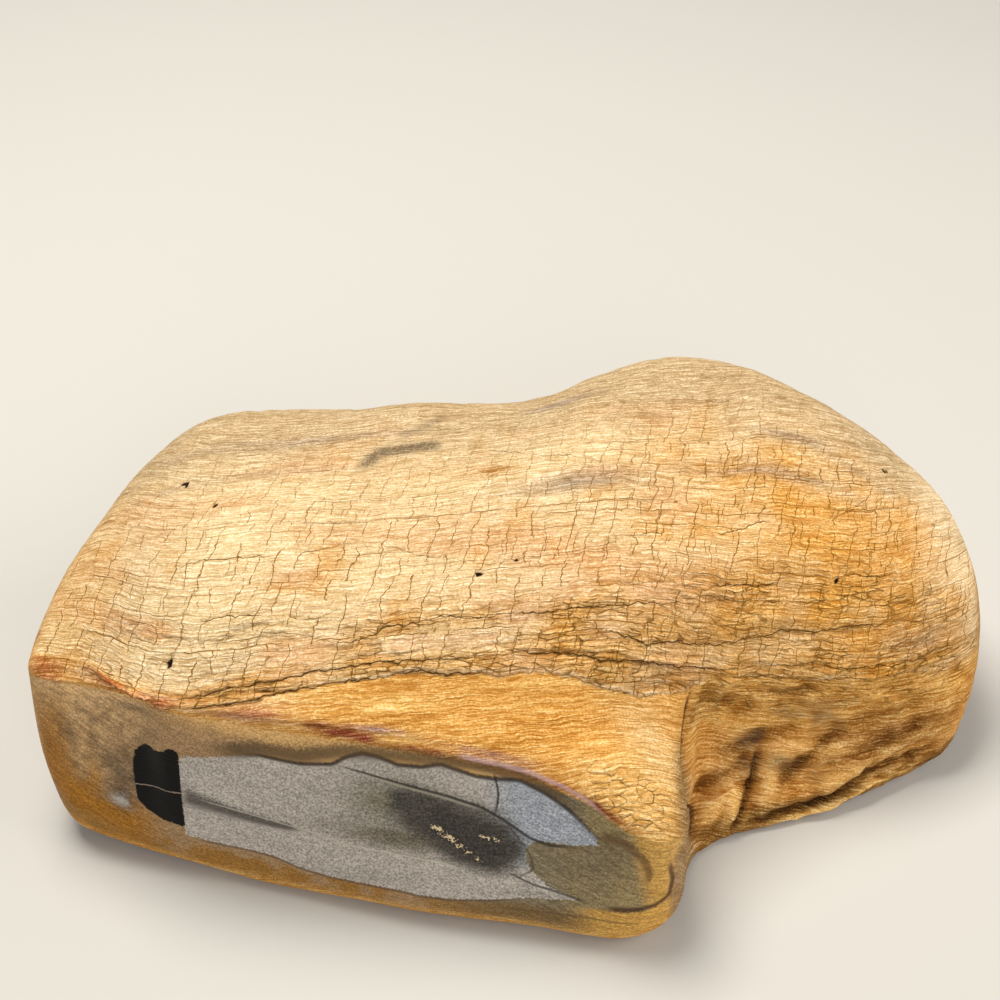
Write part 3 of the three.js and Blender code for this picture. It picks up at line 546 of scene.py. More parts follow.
# The front's crisp marks: half width in mm at the start and at the end of a line, hex colour, strength
# and points. A line is kept as a vector: how far off it a point is in half widths, with a sign so that
# it stays sharp between the grid's points, and how strong the line is there.
FACE_LINES = {
    "wisp": (2.9, 0.9, "#38332e", 0.8, [
        (-79, 25.8), (-74.6, 24.9), (-70.3, 24.1), (-63.4, 22.8), (-56.5, 22), (-49, 21.8)]),
    "pale_seam": (0.2, 0.3, "#c3b9a6", 0.6, [
        (-76, 25.6), (-66.8, 24.2), (-56.5, 22.8), (-46, 21.2), (-39.9, 20), (-27, 19.7), (-18.5, 19.4),
        (-9.6, 17.2)]),
    "pale_seam_above": (0.3, 0.3, "#a79c86", 0.6, [
        (-34, 38.7), (-28.8, 37.4), (-18.3, 35.5), (-9, 33.4)]),
    "dark_seam": (0.3, 0.5, "#2e2a27", 0.85, [
        (-42, 40.9), (-36.2, 39.6), (-28.8, 38.1), (-18.3, 36.2), (-10.2, 34.4), (-5, 32), (0.6, 28.6),
        (5, 27.6), (14, 28.6)]),
    "dark_crack": (0.3, 0.3, "#26221f", 0.9, [(-7.2, 43), (-6.3, 39), (-6.3, 36.6), (-7, 32.6)]),
    "branch": (0.3, 0.5, "#37312b", 0.8, [(-4.5, 19.4), (1.8, 16.9), (5.6, 16.4), (14, 14.4)]),
    "patch_crack": (0.3, 0.3, "#2a2622", 0.5, [(-4.5, 31.5), (0.5, 25), (1.5, 21), (-3, 17.4)]),
    "top_edge": (0.6, 0.7, "#332b25", 0.9, [(-66, 38.7)] + GREY_ZONE[3:20] + [(20, 29.2)]),
    "brown_rim": (2.6, 1.4, "#54432f", 0.8, [
        (-72, 39.0), (-59, 42.4), (-49.6, 42.2), (-39.5, 44.6), (-28, 44.6), (-14.9, 44.4), (-1.6, 43.6),
        (8.7, 38.9), (16, 33.6)]),
    "lilac_rim": (0.6, 0.6, "#c9a7a6", 0.6, [
        (-16, 46), (-10.2, 45.3), (-5.9, 45), (0.5, 44.1), (6.9, 42.3), (13.3, 39.6), (18, 37)]),
    "foot_edge": (0.4, 0.5, "#5b4f46", 0.7, [
        (-79, 12.8), (-71.5, 12.6), (-62.7, 12.5), (-57.3, 12), (-51.6, 10.2), (-44.6, 9.4), (-36.7, 9.5),
        (-28.5, 9.7), (-23.9, 9.1), (-16, 9.4), (-8.4, 10.8), (2, 13)]),
    "knob_arc": (1.6, 0.9, "#5a4028", 0.7, [
        (15, 33), (21.2, 32.5), (25.2, 28.7), (26.6, 24.1), (26, 20.5)]),
    "knob_arc_low": (0.6, 1.1, "#43291c", 0.85, [
        (30.7, 26.5), (32, 20.1), (31.4, 15.9), (28.2, 14.4), (24.9, 14), (16, 13.6)]),
    "foot_streak": (0.5, 0.3, "#5d4a30", 0.6, [(-6, 8.6), (6, 9.8), (14, 10.2), (26, 9.2)]),
}
face = np.stack([skin[..., 0], skin[..., 2]], -1)
faces_front = smooth(1.0, 1.5, rail) * fall(3.3, 3.6, rail)


def keep_line(name, off, strength):
    """Keeps a line as an attribute: the signed distance from it and its strength at each point."""
    layer = mesh.attributes.new(name, "FLOAT_VECTOR", "POINT")
    packed = np.stack([off, np.broadcast_to(strength, off.shape), 0 * off], -1).reshape(-1, 3)
    packed = np.concatenate([packed, [[FAR, 0, 0]] * 2])
    layer.data.foreach_set("vector", packed.astype(np.float32).ravel())


for name, (half_there, half_then, _, _, points) in FACE_LINES.items():
    off, way = line_offset(face, points)
    strength = tapered(way, 0.1, 0.85) * faces_front
    keep_line(name, off / (half_there + (half_then - half_there) * way), strength)
crease = np.interp(rail, *KNOB_CREASE.T)
# Where the crease lies, for a dark line of painted shadow along it in the material.
keep_line("crease", (x[:, None] - crease) / 0.5, smooth(1.6, 2.2, rail) * fall(5.3, 5.7, rail))

near_face = (rail > 1) & (rail < 3.6)
edge = {name: np.where(near_face, outline_distance(face, outline), FAR)
        for name, outline in (("grey_zone", GREY_ZONE), ("black_patch", BLACK_PATCH),
                              ("dark_patch", DARK_PATCH), ("dark_core", DARK_CORE),
                              ("flecks", FLECKS), ("flecks_beside", FLECKS_BESIDE))}
mark("grey_zone", edge["grey_zone"], FAR)
mark("black_patch", edge["black_patch"], FAR)
SEAM_IN_BLACK = [(-91, 24.3), (-86.9, 25.2), (-83.9, 25.7), (-81.4, 25.6), (-76, 26.2)]
mark("seam_in_black", np.where(near_face, line_offset(face, SEAM_IN_BLACK)[0], FAR), FAR)
mark("flecks", np.maximum(edge["flecks"], edge["flecks_beside"]), FAR)


def linear(colour):
    """A hex sRGB colour as linear red, green and blue: the sRGB curve undone for each."""
    s = np.array([int(colour[i:i + 2], 16) / 255 for i in (1, 3, 5)])
    return np.where(s <= 0.04045, s / 12.92, ((s + 0.055) / 1.055)**2.4)


def paint(tint, colour, mask):
    """Lays a hex colour over a grid of linear colours, as thickly as mask (0 to 1) says."""
    mask = np.clip(np.broadcast_to(mask, rail.shape), 0, 1)[..., None]
    tint += (linear(colour) - tint) * mask


def coat(colour):
    """A grid of one hex colour, to paint on."""
    return np.broadcast_to(linear(colour), rail.shape + (3,)).copy()


def blot(at, at_rail, wide, tall):
    """A soft round spot: exp(-r^2), r being 1 at wide mm along x or tall rails round from its middle."""
    return np.exp(-((x[:, None] - at) / wide)**2 - ((rail - at_rail) / tall)**2)


def drawn_out(lengthwise, roundwise, upward, seed):
    """Smooth noise, -1 to 1, in cells of these sizes in mm along the grain, round the stone and up."""
    cells = np.stack([x[:, None] / lengthwise + 0 * rail, across / roundwise, plain[..., 2] / upward], -1)
    return lattice_noise(cells, seed)


# Broad colours of the skin, laid over each other. Silica took up iron from the ground: pale buff
# where it is bleached, ochre to rust where it kept the iron, and lilac grey where manganese came in.
# First come the noises that break the colours up, and then the colours of the crust.
column = x[:, None] + 0 * rail
blur = 0.5 + 3.5 * smooth(88, 106, column)
crust = smooth(-blur, blur, off_mm[0])
wobble = drawn_out(17, 6, 15, 61)
streak = drawn_out(24, 1.8, 30, 62)
patchy = drawn_out(9, 5, 12, 66)
mottle = lattice_noise(plain / [9.0, 7.0, 7.0], 63) + 0.5 * lattice_noise(plain / 3.6, 64)
crumbs = lattice_noise(plain / 1.9, 23)
slanted = face[..., 1] + 0.39 * face[..., 0]
face_streak = lattice_noise(np.stack([column / 11, slanted / 1.3, 0 * column], -1), 65)
beside = smooth(37.5, 40.5, column - np.interp(rail, [1.4, 2.7, 4.3, 5.7], [2.5, 1.5, -1.5, 0]))
tint = coat("#e4c79a")
paint(tint, "#d9a258", 0.5 * smooth(0.15, 0.9, mottle))
paint(tint, "#ebd2a4", 0.6 * smooth(0, 0.8, wobble) * fall(20, 60, column))
paint(tint, "#e0a54e", 0.9 * smooth(-5, 75, column + 16 * wobble) * (0.65 + 0.4 * mottle)
      * (1 - 0.6 * smooth(7.5, 8.1, rail)))
paint(tint, "#e0a75a", (0.9 * blot(93, 7.6, 13, 0.5) + 0.5 * blot(76, 7.1, 20, 0.4))
      * (0.75 + 0.4 * mottle + 0.4 * patchy))
paint(tint, "#d9a878", 0.55 * smooth(0.0, 0.6, -wobble) * fall(30, 70, column))
paint(tint, "#c9af88", 0.9 * smooth(7.6, 8.4, rail + 0.1 * wobble))
paint(tint, "#dbb070", 0.5 * fall(-106, -88, column) * fall(8, 9, rail))
paint(tint, "#b79b72", 0.5 * smooth(7.6, 8.3, rail) * smooth(0.0, 0.6, streak))
# Paler towards the right end: painted light on that end.
paint(tint, "#f3d9b0", 0.9 * smooth(92, 108, column) * (0.85 + 0.3 * mottle))
paint(tint, "#c0935f", 0.7 * smooth(9.4, 11, rail + 0.5 * wobble))
paint(tint, "#a87a48", 0.8 * smooth(11, 12.4, rail + 0.4 * wobble))
# Grey streaks, and patches of the crust and the back.
for at, at_rail, wide, tall, strength in (
        (12, 7.55, 16, 0.07, 0.7), (58, 7.6, 22, 0.06, 0.5), (70, 7.9, 20, 0.06, 0.4),
        (94, 6.35, 14, 0.2, 0.6), (32, 6.28, 6, 0.12, 0.6), (11, 8.45, 9, 0.06, 0.8),
        (-60, 8.2, 30, 0.06, 0.5), (-66, 7.86, 20, 0.04, 0.6), (-34, 9.45, 30, 0.1, 0.8),
        (48, 10.35, 26, 0.12, 0.8), (-84, 10.5, 16, 0.12, 0.6), (22, 9.3, 22, 0.05, 0.6),
        (88, 9.5, 14, 0.08, 0.6)):
    paint(tint, "#a5907c", strength * blot(at, at_rail, wide, tall) * (1 + 0.8 * streak))
paint(tint, "#b27c33", 0.8 * blot(-7, 7.72, 6, 0.06))
paint(tint, "#d3973f", 0.8 * blot(58, 9.75, 24, 0.35) * (0.8 + 0.5 * mottle))
paint(tint, "#dfb884", 0.8 * blot(-6, 9.7, 30, 0.3) * (0.8 + 0.4 * streak))
paint(tint, "#a9713a", 0.7 * blot(-56, 10.7, 26, 0.4) * (0.8 + 0.5 * mottle))
paint(tint, "#dcad6e", 0.8 * fall(7, 14, off_mm[0]) * fall(-60, -35, column))
paint(tint, "#e2ae66", 0.85 * fall(5, 11, off_mm[0]) * fall(-94, -80, column) * (0.85 + 0.3 * mottle))
# The broken band between the crust's edge and the fourth split.
band = smooth(0, 1.5, off_mm[0]) * fall(0.0, 0.4, rail - split_at[3][:, None] + 0.15 * wobble)
band = band * smooth(-108, -96, column) * fall(104, 114, column)
band = band * (1 - smooth(5, 11, off_mm[0]) * fall(-50, -25, column))
paint(tint, "#cf9a4e", band * np.clip(0.4 + 0.6 * patchy, 0, 0.9))
paint(tint, "#dfb78c", 0.6 * band * smooth(0.2, 0.6, -patchy) * fall(20, 50, column))
paint(tint, "#d59a45", 0.6 * band * smooth(30, 60, column) * (0.7 + 0.4 * mottle))
# Under the crust's edge: bare ochre wood, the knob, and the hollow, with painted shade in its folds'
# grooves and painted highlight on their crests.
tint_wood = coat("#dfa85b")
paint(tint_wood, "#edbd70", smooth(0, 0.7, streak + 0.4 * mottle))
paint(tint_wood, "#c88f42", 0.7 * smooth(0.1, 0.8, -streak + 0.3 * mottle))
# A pale greyish streak down the crest from the saddle to the knob's right: painted highlight.
paint(tint_wood, "#dcb67c", np.exp(-((column - 27 + 4 * (rail - 4.6)) / 7)**2 - ((rail - 4.5) / 0.8)**2))
paint(tint_wood, "#e8bb76", np.exp(-((column - 22) / 12)**4 - ((rail - 3.6) / 0.5)**4))
# The knob's right flank, up to the crease, is painted darker grey brown: painted shade.
paint(tint_wood, "#a98a5e", smooth(30, 36, column) * fall(4.4, 4.9, rail))
paint(tint_wood, "#d39c55", beside)
paint(tint_wood, "#dba659", beside * smooth(3.8, 4.8, rail + 0.3 * mottle))
paint(tint_wood, "#a37c50", 0.8 * beside * smooth(0.05, 0.6, mottle - 0.3 * streak)
      * blot(62, 4.1, 22, 1.2))
paint(tint_wood, "#835626", 0.85 * beside * blot(90, 3.5, 16, 1.0) * (0.7 + 0.5 * streak))
paint(tint_wood, "#8a6430", 0.8 * beside * fall(1.8, 2.4, rail))
folded = np.stack([column - MIDDLE[0] + 0.4 * crumbs, plain[..., 2] + 0.6 * crumbs], -1)
# Painted shade along each fold's groove and painted highlight along its crest, broken into spots.
for half, _, dark, points in HOLLOW_FOLDS:
    off, way = line_offset(folded, points)
    ends = tapered(way, 0.2, 0.8) * beside * (rail > 1)
    spots = np.clip(0.75 + 0.5 * crumbs + 0.4 * mottle, 0, 1)
    paint(tint_wood, "#4c3012" if dark > 0 else "#eab765",
          abs(dark) * ends * spots * np.exp(-(off / (1.35 * half))**2))
tint += (tint_wood - tint) * (1 - crust)[..., None]
paint(tint, "#e6bb84", 0.8 * fall(-62, -40, column) * smooth(3.0, 3.4, rail) * (1 - crust))
# Iron stains on the rim and at the left of the crust's edge.
for at, at_rail, wide, tall, shade, strength in (
        (-58.5, 3.95, 4.5, 0.5, "#b5704e", 1.0), (-63, 3.5, 5, 0.4, "#c08465", 0.7),
        (-45.0, 3.5, 2.6, 0.34, "#7e352a", 1.3), (-40.5, 3.3, 3.8, 0.32, "#8c4030", 1.3),
        (-35.5, 3.25, 3.2, 0.26, "#9c4c3a", 1.2), (-33, 3.75, 7, 0.2, "#b0908e", 0.8),
        (-20, 3.15, 9, 0.2, "#a8653f", 0.9), (-8, 3.5, 9, 0.16, "#b58a80", 0.7),
        (4, 3.2, 10, 0.15, "#a8653f", 0.7), (17, 3.15, 6, 0.15, "#8a4a2c", 0.9)):
    paint(tint, shade, strength * blot(at, at_rail, wide, tall) * (0.9 + 0.25 * mottle + 0.4 * crumbs))
for at, off, wide, tall, shade in ((-110, 1.5, 5, 3.5, "#c4824e"), (-91, 2.2, 6, 1.7, "#d4824e"),
                                   (-80, 1.4, 7, 1.3, "#d98f5c")):
    spot = np.exp(-((column - at) / wide)**2 - ((off_mm[0] - off) / tall)**2)
    paint(tint, shade, spot * (1 + 0.4 * crumbs))
# The front face, outside the grey and inside it.
tint_face = coat("#a88760")
left_face = fall(-90, -78, column)
paint(tint_face, "#d8b07c", left_face * smooth(2.2, 2.8, rail + 0.2 * mottle))
paint(tint_face, "#e3b472", 0.9 * smooth(2.5, 2.9, rail + 0.1 * mottle) * smooth(-84, -70, column))
paint(tint_face, "#79634b", 0.75 * left_face * smooth(0, 0.7, face_streak + 0.5 * mottle)
      * fall(2.5, 2.8, rail))
paint(tint_face, "#b07a2c", 0.8 * blot(-108, 2.3, 4, 0.35) + 0.7 * blot(-99, 2.35, 2, 0.12))
paint(tint_face, "#aa721e", 0.95 * fall(-92, -80, column) * fall(2.1, 2.35, rail + 0.15 * mottle))
paint(tint_face, "#a8702a", 0.8 * fall(-110, -104, column) * fall(2.45, 2.62, rail))
short_dashes = lattice_noise(np.stack([column / 5, slanted / 1.1, 0 * column], -1), 68)
paint(tint_face, "#5e4a33", 0.42 * left_face * smooth(0.15, 0.5, short_dashes) * smooth(2.3, 2.45, rail)
      * fall(2.7, 2.85, rail))
paint(tint_face, "#57483a", 0.8 * blot(-92.5, 2.3, 3.5, 0.18) + 0.6 * blot(-88, 2.75, 5, 0.06))
paint(tint_face, "#c4beb4", 0.9 * blot(-92.5, 2.24, 3, 0.06) * smooth(-0.2, 0.3, crumbs))
paint(tint_face, "#a1722f", 0.9 * fall(1.75, 1.95, rail) * smooth(0, 0.6, mottle + 0.5))
paint(tint_face, "#887a5f", smooth(-9, -3, column) * smooth(1.8, 2.0, rail) * fall(2.95, 3.02, rail))
paint(tint_face, "#9a855a", 0.8 * smooth(6, 20, column + 6 * mottle) * smooth(1.7, 1.9, rail))
paint(tint_face, "#6d6250", 0.6 * np.exp(-((column - 17) / 7)**2 - ((face[..., 1] - 28) / 4)**2))
paint(tint_face, "#766546", 0.7 * smooth(-30, -5, column) * fall(1.85, 2.0, rail))
paint(tint_face, "#c69a52", smooth(23.5, 27.5, column + 0.18 * (face[..., 1] - 22)))
paint(tint_face, "#cf9f50", smooth(8, 18, column) * fall(12.5, 13.8, face[..., 1]))
paint(tint_face, "#8c7357", smooth(31, 33.5, column) * fall(24, 30, face[..., 1]))
on_front = smooth(1.25, 1.6, rail) * fall(2.9, 3.04, rail) * fall(31, 37, column)
tint += (tint_face - tint) * on_front[..., None]
inlay = coat("#b9afa3")
paint(inlay, "#9d968a", 0.5 * smooth(-60, -30, column) * smooth(0, 0.8, streak + 0.3))
paint(inlay, "#a8abb0", smooth(-12, 0, column) * smooth(2.3, 2.5, rail))
paint(inlay, "#7b7460", np.exp(-((column + 30) / 10)**2 - ((face[..., 1] - 33) / 6)**2))
paint(inlay, "#706755", np.exp(-((column + 27) / 17)**2 - ((face[..., 1] - 24) / 3)**2))
paint(inlay, "#504b43", smooth(-2.5, 1.5, edge["dark_patch"] + mottle))
paint(inlay, "#46413b", smooth(-1.5, 1.5, edge["dark_core"] + 0.7 * mottle))
# Painted shade in the low places and painted highlight on the high ones: the colour is scaled by how far
# the skin lies under its own average over about 3 mm.
around_it = height.copy()
for _ in range(20):
    around_it = (around_it + np.roll(around_it, 1, 1) + np.roll(around_it, -1, 1)) / 3
    around_it[1:-1] = (around_it[1:-1] + around_it[2:] + around_it[:-2]) / 3
low = (around_it - height) * (0.25 * crust + 0.55 * beside * (1 - crust))
low = np.clip(low, -0.22, 0.55)[..., None]
tint = tint**(1 + 0.8 * low) * (1 - 0.55 * low)
# The underside runs into itself where the rail numbers start again, and the broken ends show the
# end grain: growth rings about 2.5 mm apart round each tip.
sole = np.maximum(smooth(11.4, 12.8, rail + 0.3 * wobble), fall(0.3, 1.25, rail + 0.1 * mottle))
paint(tint, "#a37949", sole * (0.95 + 0.1 * mottle))
size = np.minimum(*[(1 - (1 - end)**END_BLUNTNESS)**(1 / END_BLUNTNESS) for end in (end_left, end_right)])
broken_end = fall(0.5, 0.93, size)[:, None] * np.ones(rail.shape)
from_tip = np.where(column < 0, np.hypot(plain[..., 1] - LEFT_TIP[1], plain[..., 2] - LEFT_TIP[2]),
                    np.hypot(plain[..., 1] - RIGHT_TIP[1], plain[..., 2] - RIGHT_TIP[2]))
growth = lattice_noise(np.stack([from_tip / 2.5, plain[..., 1] / 30, plain[..., 2] / 30], -1), 71)
paint(tint, "#c99c60", 0.9 * broken_end)
paint(tint, "#a0713a", 0.7 * broken_end * smooth(-0.1, 0.6, growth + 0.3 * mottle))
# Black smudges lie along lines seen from above, x and y, and dirt stains the hollow.
plan = skin[..., :2]
soot = np.zeros(rail.shape)
for points, half, strength in (
        ([(-43, 13), (-37.9, 19.4), (-34.9, 22.8), (-30.1, 23.6), (-26.4, 24.2), (-18, 25.2)], 2.2, 0.9),
        ([(-34, 24.5), (-31.5, 27.1), (-27.2, 30.1), (-23.6, 32.9), (-18, 38)], 2.0, 0.5),
        ([(3, 6.4), (12, 7.4), (24, 7.8)], 1.6, 0.3)):
    away, way = line_offset(plan, points)
    ends = tapered(way, 0.35, 0.85)
    soot = np.maximum(soot, strength * ends * np.exp(-(away / half)**2) * (rail > 6))
stained = np.exp(-((column - 64) / 17)**2 - ((plain[..., 2] - 19) / 10)**2)
stained = stained * np.clip(0.35 + 0.8 * mottle + 0.5 * patchy, 0, 1)
soot = np.maximum(soot, 0.75 * stained * beside * (1 - crust))
mark("soot", soot)
# How much each kind of crack shows: the nets on the crust, fewer on the hump, and slivers in the band.
fewer = 0.95 - 0.3 * smooth(7.3, 7.7, rail) * fall(10, 45, column)
fewer = fewer * (1 - 0.6 * smooth(7.6, 8.3, rail))
mark("crackle", crust * fall(11, 11.8, rail) * fewer * (1 - 0.9 * broken_end))
splinter = fall(0.0, 0.35, rail - split_at[3][:, None] + 0.1 * wobble)
splinter = splinter * smooth(-0.5, 0.5, off_mm[0])
splinter = splinter * (1 - 0.5 * smooth(8, 15, off_mm[0]) * fall(-50, -25, column))
splinter = splinter * smooth(-110, -98, column) * fall(106, 114, column)
least = 0.1 + 0.45 * fall(-60, -30, column)
splinter = splinter * np.clip(0.75 + 0.9 * patchy, least, 1)
splinter = np.maximum(splinter, 0.6 * smooth(45, 75, column) * np.exp(-((rail - 6.9) / 0.35)**2))
rear_splits = 0.7 * np.exp(-((rail - 9.0) / 0.25)**2) + 0.5 * np.exp(-((rail - 10) / 0.2)**2)
splinter = np.maximum(splinter, rear_splits)
splinter = np.maximum(splinter, beside * 0.75 * smooth(4.6, 5.1, rail) * (rail < 6))
mark("splinter", splinter)
# The nearest split, as its signed distance in mm, the sign turning at every split so that it is
# crossed at 0 only there, and how far open it is.
nearest = np.argmin(np.abs(off_mm), axis=0)
off = np.take_along_axis(off_mm, nearest[None], 0)[0] * np.where(nearest % 2, -1, 1)
opened = np.take_along_axis(np.broadcast_to(split_open[..., None], off_mm.shape), nearest[None], 0)[0]
keep_line("split", off, opened * fade)
mark("knob", np.exp(-((column - 22) / 10)**4 - ((rail - 3.6) / 0.4)**4))
mark("satin", on_front)
mark("streaked", on_front * (0.35 + 0.45 * left_face + 0.35 * smooth(-8, 4, column)))
mark("dense", np.clip(0.5 + 0.5 * smooth(-20, 50, column) + 0.5 * patchy, 0, 1)
     * (1 - 0.5 * smooth(7.6, 8.3, rail)))
mark("weathered", (1 - 0.8 * on_front) * (1 - 0.6 * broken_end), 0.4)
# How steep the crust is across the grain: the material paints shade, and an olive deposit, on steep step
# faces.
slope = np.gradient(height, axis=1) / np.maximum(np.gradient(across, axis=1), 0.05)
mark("scarp", smooth(0.35, 1.3, np.abs(slope)) * crust)
for name, colours in (("tint", tint), ("inlay", inlay)):
    layer = mesh.attributes.new(name, "FLOAT_COLOR", "POINT")
    rgba = np.concatenate([colours.reshape(-1, 3), colours[[0, -1], 0]])
    rgba = np.concatenate([rgba, np.ones((len(rgba), 1))], 1)
    layer.data.foreach_set("color", rgba.astype(np.float32).ravel())
# How far the skin lies under its own average round the stone nearby: the material paints shade where it is
# low.
blurred = height.copy()
for _ in range(6):
    blurred = (blurred + np.roll(blurred, 1, 1) + np.roll(blurred, -1, 1)) / 3
mark("crevice", np.clip(blurred - height, -1, 1.5))
mark("pit", pit)

petrified_wood = bpy.data.objects.new("petrified_wood_skin", mesh)
bpy.context.scene.collection.objects.link(petrified_wood)

# Silicified wood: chalcedony with the grain of the wood it replaced. The weathered crust is matt and
# dry, the worn front satin, and the black patch, pure chalcedony, glossy.
silicified_wood = bpy.data.materials.new("silicified_wood")
silicified_wood.use_nodes = True
tree = silicified_wood.node_tree
tree.nodes.clear()


def add(kind, inputs=(), out=0, **settings):
    """Adds a shader node of a kind with its settings, sets or links its inputs, gives an output."""
    made = tree.nodes.new("ShaderNode" + kind)
    for name, value in settings.items():
        setattr(made, name, value)
    for name, value in dict(inputs).items():
        if isinstance(value, bpy.types.NodeSocket):
            tree.links.new(value, made.inputs[name])
        else:
            made.inputs[name].default_value = value
    return made.outputs[out]


# Inputs go by number where their names repeat. MapRange: value, from low, from high, to low, to high.
# Mix: 0 the share, 2 and 3 two numbers, 6 and 7 two colours.

# What the grid keeps for the material: shares from 0 to 1, and distances from an outline in mm.
kept = {name: add("Attribute", out="Fac", attribute_name=name) for name in (
    "crackle", "dense", "splinter", "knob", "weathered", "satin", "streaked", "soot", "scarp", "crevice",
    "pit", "grey_zone", "black_patch", "flecks", "seam_in_black")}
grain_map = add("UVMap", uv_map="grain")  # millimetres along and across the grain
place = add("TexCoord", out="Object")  # metres, so that a scale of 1000 gives features of 1 mm
wander = add("TexNoise", {"Vector": grain_map, "Scale": 0.16, "Detail": 2.0}, "Color",
             noise_dimensions="2D")
wander = add("VectorMath", {0: wander, 1: (0.5, 0.5, 0.5)}, operation="SUBTRACT")
wavy = add("VectorMath", {0: wander, 1: (3.4, 1.7, 0), 2: grain_map}, operation="MULTIPLY_ADD")
jitter = add("TexNoise", {"Vector": grain_map, "Scale": 0.8, "Detail": 1.0}, "Color",
             noise_dimensions="2D")
jitter = add("VectorMath", {0: jitter, 1: (0.5, 0.5, 0.5)}, operation="SUBTRACT")
wavy = add("VectorMath", {0: jitter, 1: (0.8, 0.3, 0), 2: wavy}, operation="MULTIPLY_ADD")
lengthwise, crosswise = add("SeparateXYZ", {0: wavy}).node.outputs[:2]


def crack_net(row, piece, width, seed, shares):
    """Mask of drying cracks: splits along the grain about row mm apart, and between two of them the
    wood cut across about piece mm apart at places of its own, as a course of bricks is. Width is a
    crack's width in mm, and shares how much of the splits and of the cuts is open."""
    way = add("Math", {0: crosswise, 1: 1 / row, 2: seed}, operation="MULTIPLY_ADD")
    split = add("TexVoronoi", {"W": way, "Scale": 1.0, "Randomness": 1.0},
                voronoi_dimensions="1D", feature="DISTANCE_TO_EDGE")
    own = add("TexVoronoi", {"W": way, "Scale": 1.0, "Randomness": 1.0}, "Color", voronoi_dimensions="1D")
    start = add("Math", {0: own, 1: 31.0, 2: seed}, operation="MULTIPLY_ADD")
    slant = add("Math", {0: crosswise, 1: -0.22 / piece, 2: start}, operation="MULTIPLY_ADD")
    run = add("Math", {0: lengthwise, 1: 1 / piece, 2: slant}, operation="MULTIPLY_ADD")
    cut = add("TexVoronoi", {"W": run, "Scale": 1.0, "Randomness": 1.0},
              voronoi_dimensions="1D", feature="DISTANCE_TO_EDGE")
    masks = []
    for edge_way, size, stretch, share in ((split, row, (1 / 16, 1 / 3.5, 0), shares[0]),
                                           (cut, piece, (1 / 4, 1 / 6, 0), shares[1])):
        line = add("MapRange", {0: edge_way, 1: 0.2 * width / size, 2: width / size, 3: 1.0, 4: 0.0},
                   interpolation_type="SMOOTHSTEP")
        spot = add("VectorMath", {0: wavy, 1: stretch, 2: (seed, 0, 0)}, operation="MULTIPLY_ADD")
        open_here = add("TexNoise", {"Vector": spot, "Scale": 1.0, "Detail": 1.0}, noise_dimensions="2D")
        open_here = add("MapRange", {0: open_here, 1: 0.62 - 0.3 * share, 2: 0.72 - 0.3 * share},
                        interpolation_type="SMOOTHSTEP")
        masks.append(add("Math", {0: line, 1: open_here}, operation="MULTIPLY"))
    return add("Math", {0: masks[0], 1: masks[1]}, operation="MAXIMUM")


# Cracks in courses of 13 mm and of 4 mm, and in the broken band slivers about 5.5 by 1.2 mm.
wide_net = crack_net(13, 4.8, 0.16, 0.3, (0.55, 0.85))
fine_net = crack_net(3.9, 3.4, 0.13, 7.7, (0.65, 0.5))
fine_net = add("Math", {0: fine_net, 1: kept["dense"]}, operation="MULTIPLY")
cracks = add("Math", {0: wide_net, 1: fine_net}, operation="MAXIMUM")
cracks = add("Math", {0: cracks, 1: kept["crackle"]}, operation="MULTIPLY")
sliver_way = add("VectorMath", {0: wavy, 1: (1 / 5.5, 1 / 1.2, 0)}, operation="MULTIPLY")
sliver_edge = add("TexVoronoi", {"Vector": sliver_way, "Scale": 1.0}, voronoi_dimensions="2D",
                  feature="DISTANCE_TO_EDGE")
sliver_tone = add("TexVoronoi", {"Vector": sliver_way, "Scale": 1.0}, "Color", voronoi_dimensions="2D")
slivers = add("MapRange", {0: sliver_edge, 1: 0.03, 2: 0.12, 3: 1.0, 4: 0.0},
              interpolation_type="SMOOTHSTEP")
sliver_open = add("TexNoise", {"Vector": wavy, "Scale": 0.35, "Detail": 2.0}, noise_dimensions="2D")
sliver_open = add("MapRange", {0: sliver_open, 1: 0.42, 2: 0.58, 3: 0.15, 4: 1.0})
slivers = add("Math", {0: slivers, 1: sliver_open}, operation="MULTIPLY")
slivers = add("Math", {0: slivers, 1: kept["splinter"]}, operation="MULTIPLY")
knob_way = add("VectorMath", {0: wavy, 1: (1 / 3.0, 1 / 1.7, 0)}, operation="MULTIPLY")
knob_edge = add("TexVoronoi", {"Vector": knob_way, "Scale": 1.0}, voronoi_dimensions="2D",
                feature="DISTANCE_TO_EDGE")
knob_cracks = add("MapRange", {0: knob_edge, 1: 0.0, 2: 0.09, 3: 1.0, 4: 0.0},
                  interpolation_type="SMOOTHSTEP")
knob_cracks = add("Math", {0: knob_cracks, 1: sliver_open}, operation="MULTIPLY")
knob_cracks = add("Math", {0: knob_cracks, 1: kept["knob"]}, operation="MULTIPLY")
deep_cracks = add("Math", {0: slivers, 1: knob_cracks}, operation="MAXIMUM")
nearest_split = add("Attribute", out="Vector", attribute_name="split")
split_way, split_opened = add("SeparateXYZ", {0: nearest_split}).node.outputs[:2]
split_off = add("TexNoise", {"Vector": place, "Scale": 1000 / 1.3, "Detail": 1.0})
split_off = add("Math", {0: split_off, 1: 0.9, 2: -0.45}, operation="MULTIPLY_ADD")
split_off = add("Math", {0: split_off, 1: split_way}, operation="ADD")
split_off = add("Math", {0: split_off}, operation="ABSOLUTE")
split_width = add("MapRange", {0: split_opened, 3: 0.05, 4: 0.14})
split_off = add("Math", {0: split_off, 1: split_width}, operation="DIVIDE")
splits = add("MapRange", {0: split_off, 1: 0.4, 2: 1.3, 3: 1.0, 4: 0.0}, interpolation_type="SMOOTHSTEP")
split_share = add("MapRange", {0: split_opened, 1: 0.05, 2: 0.7})
splits = add("Math", {0: split_share, 1: splits}, operation="MULTIPLY")

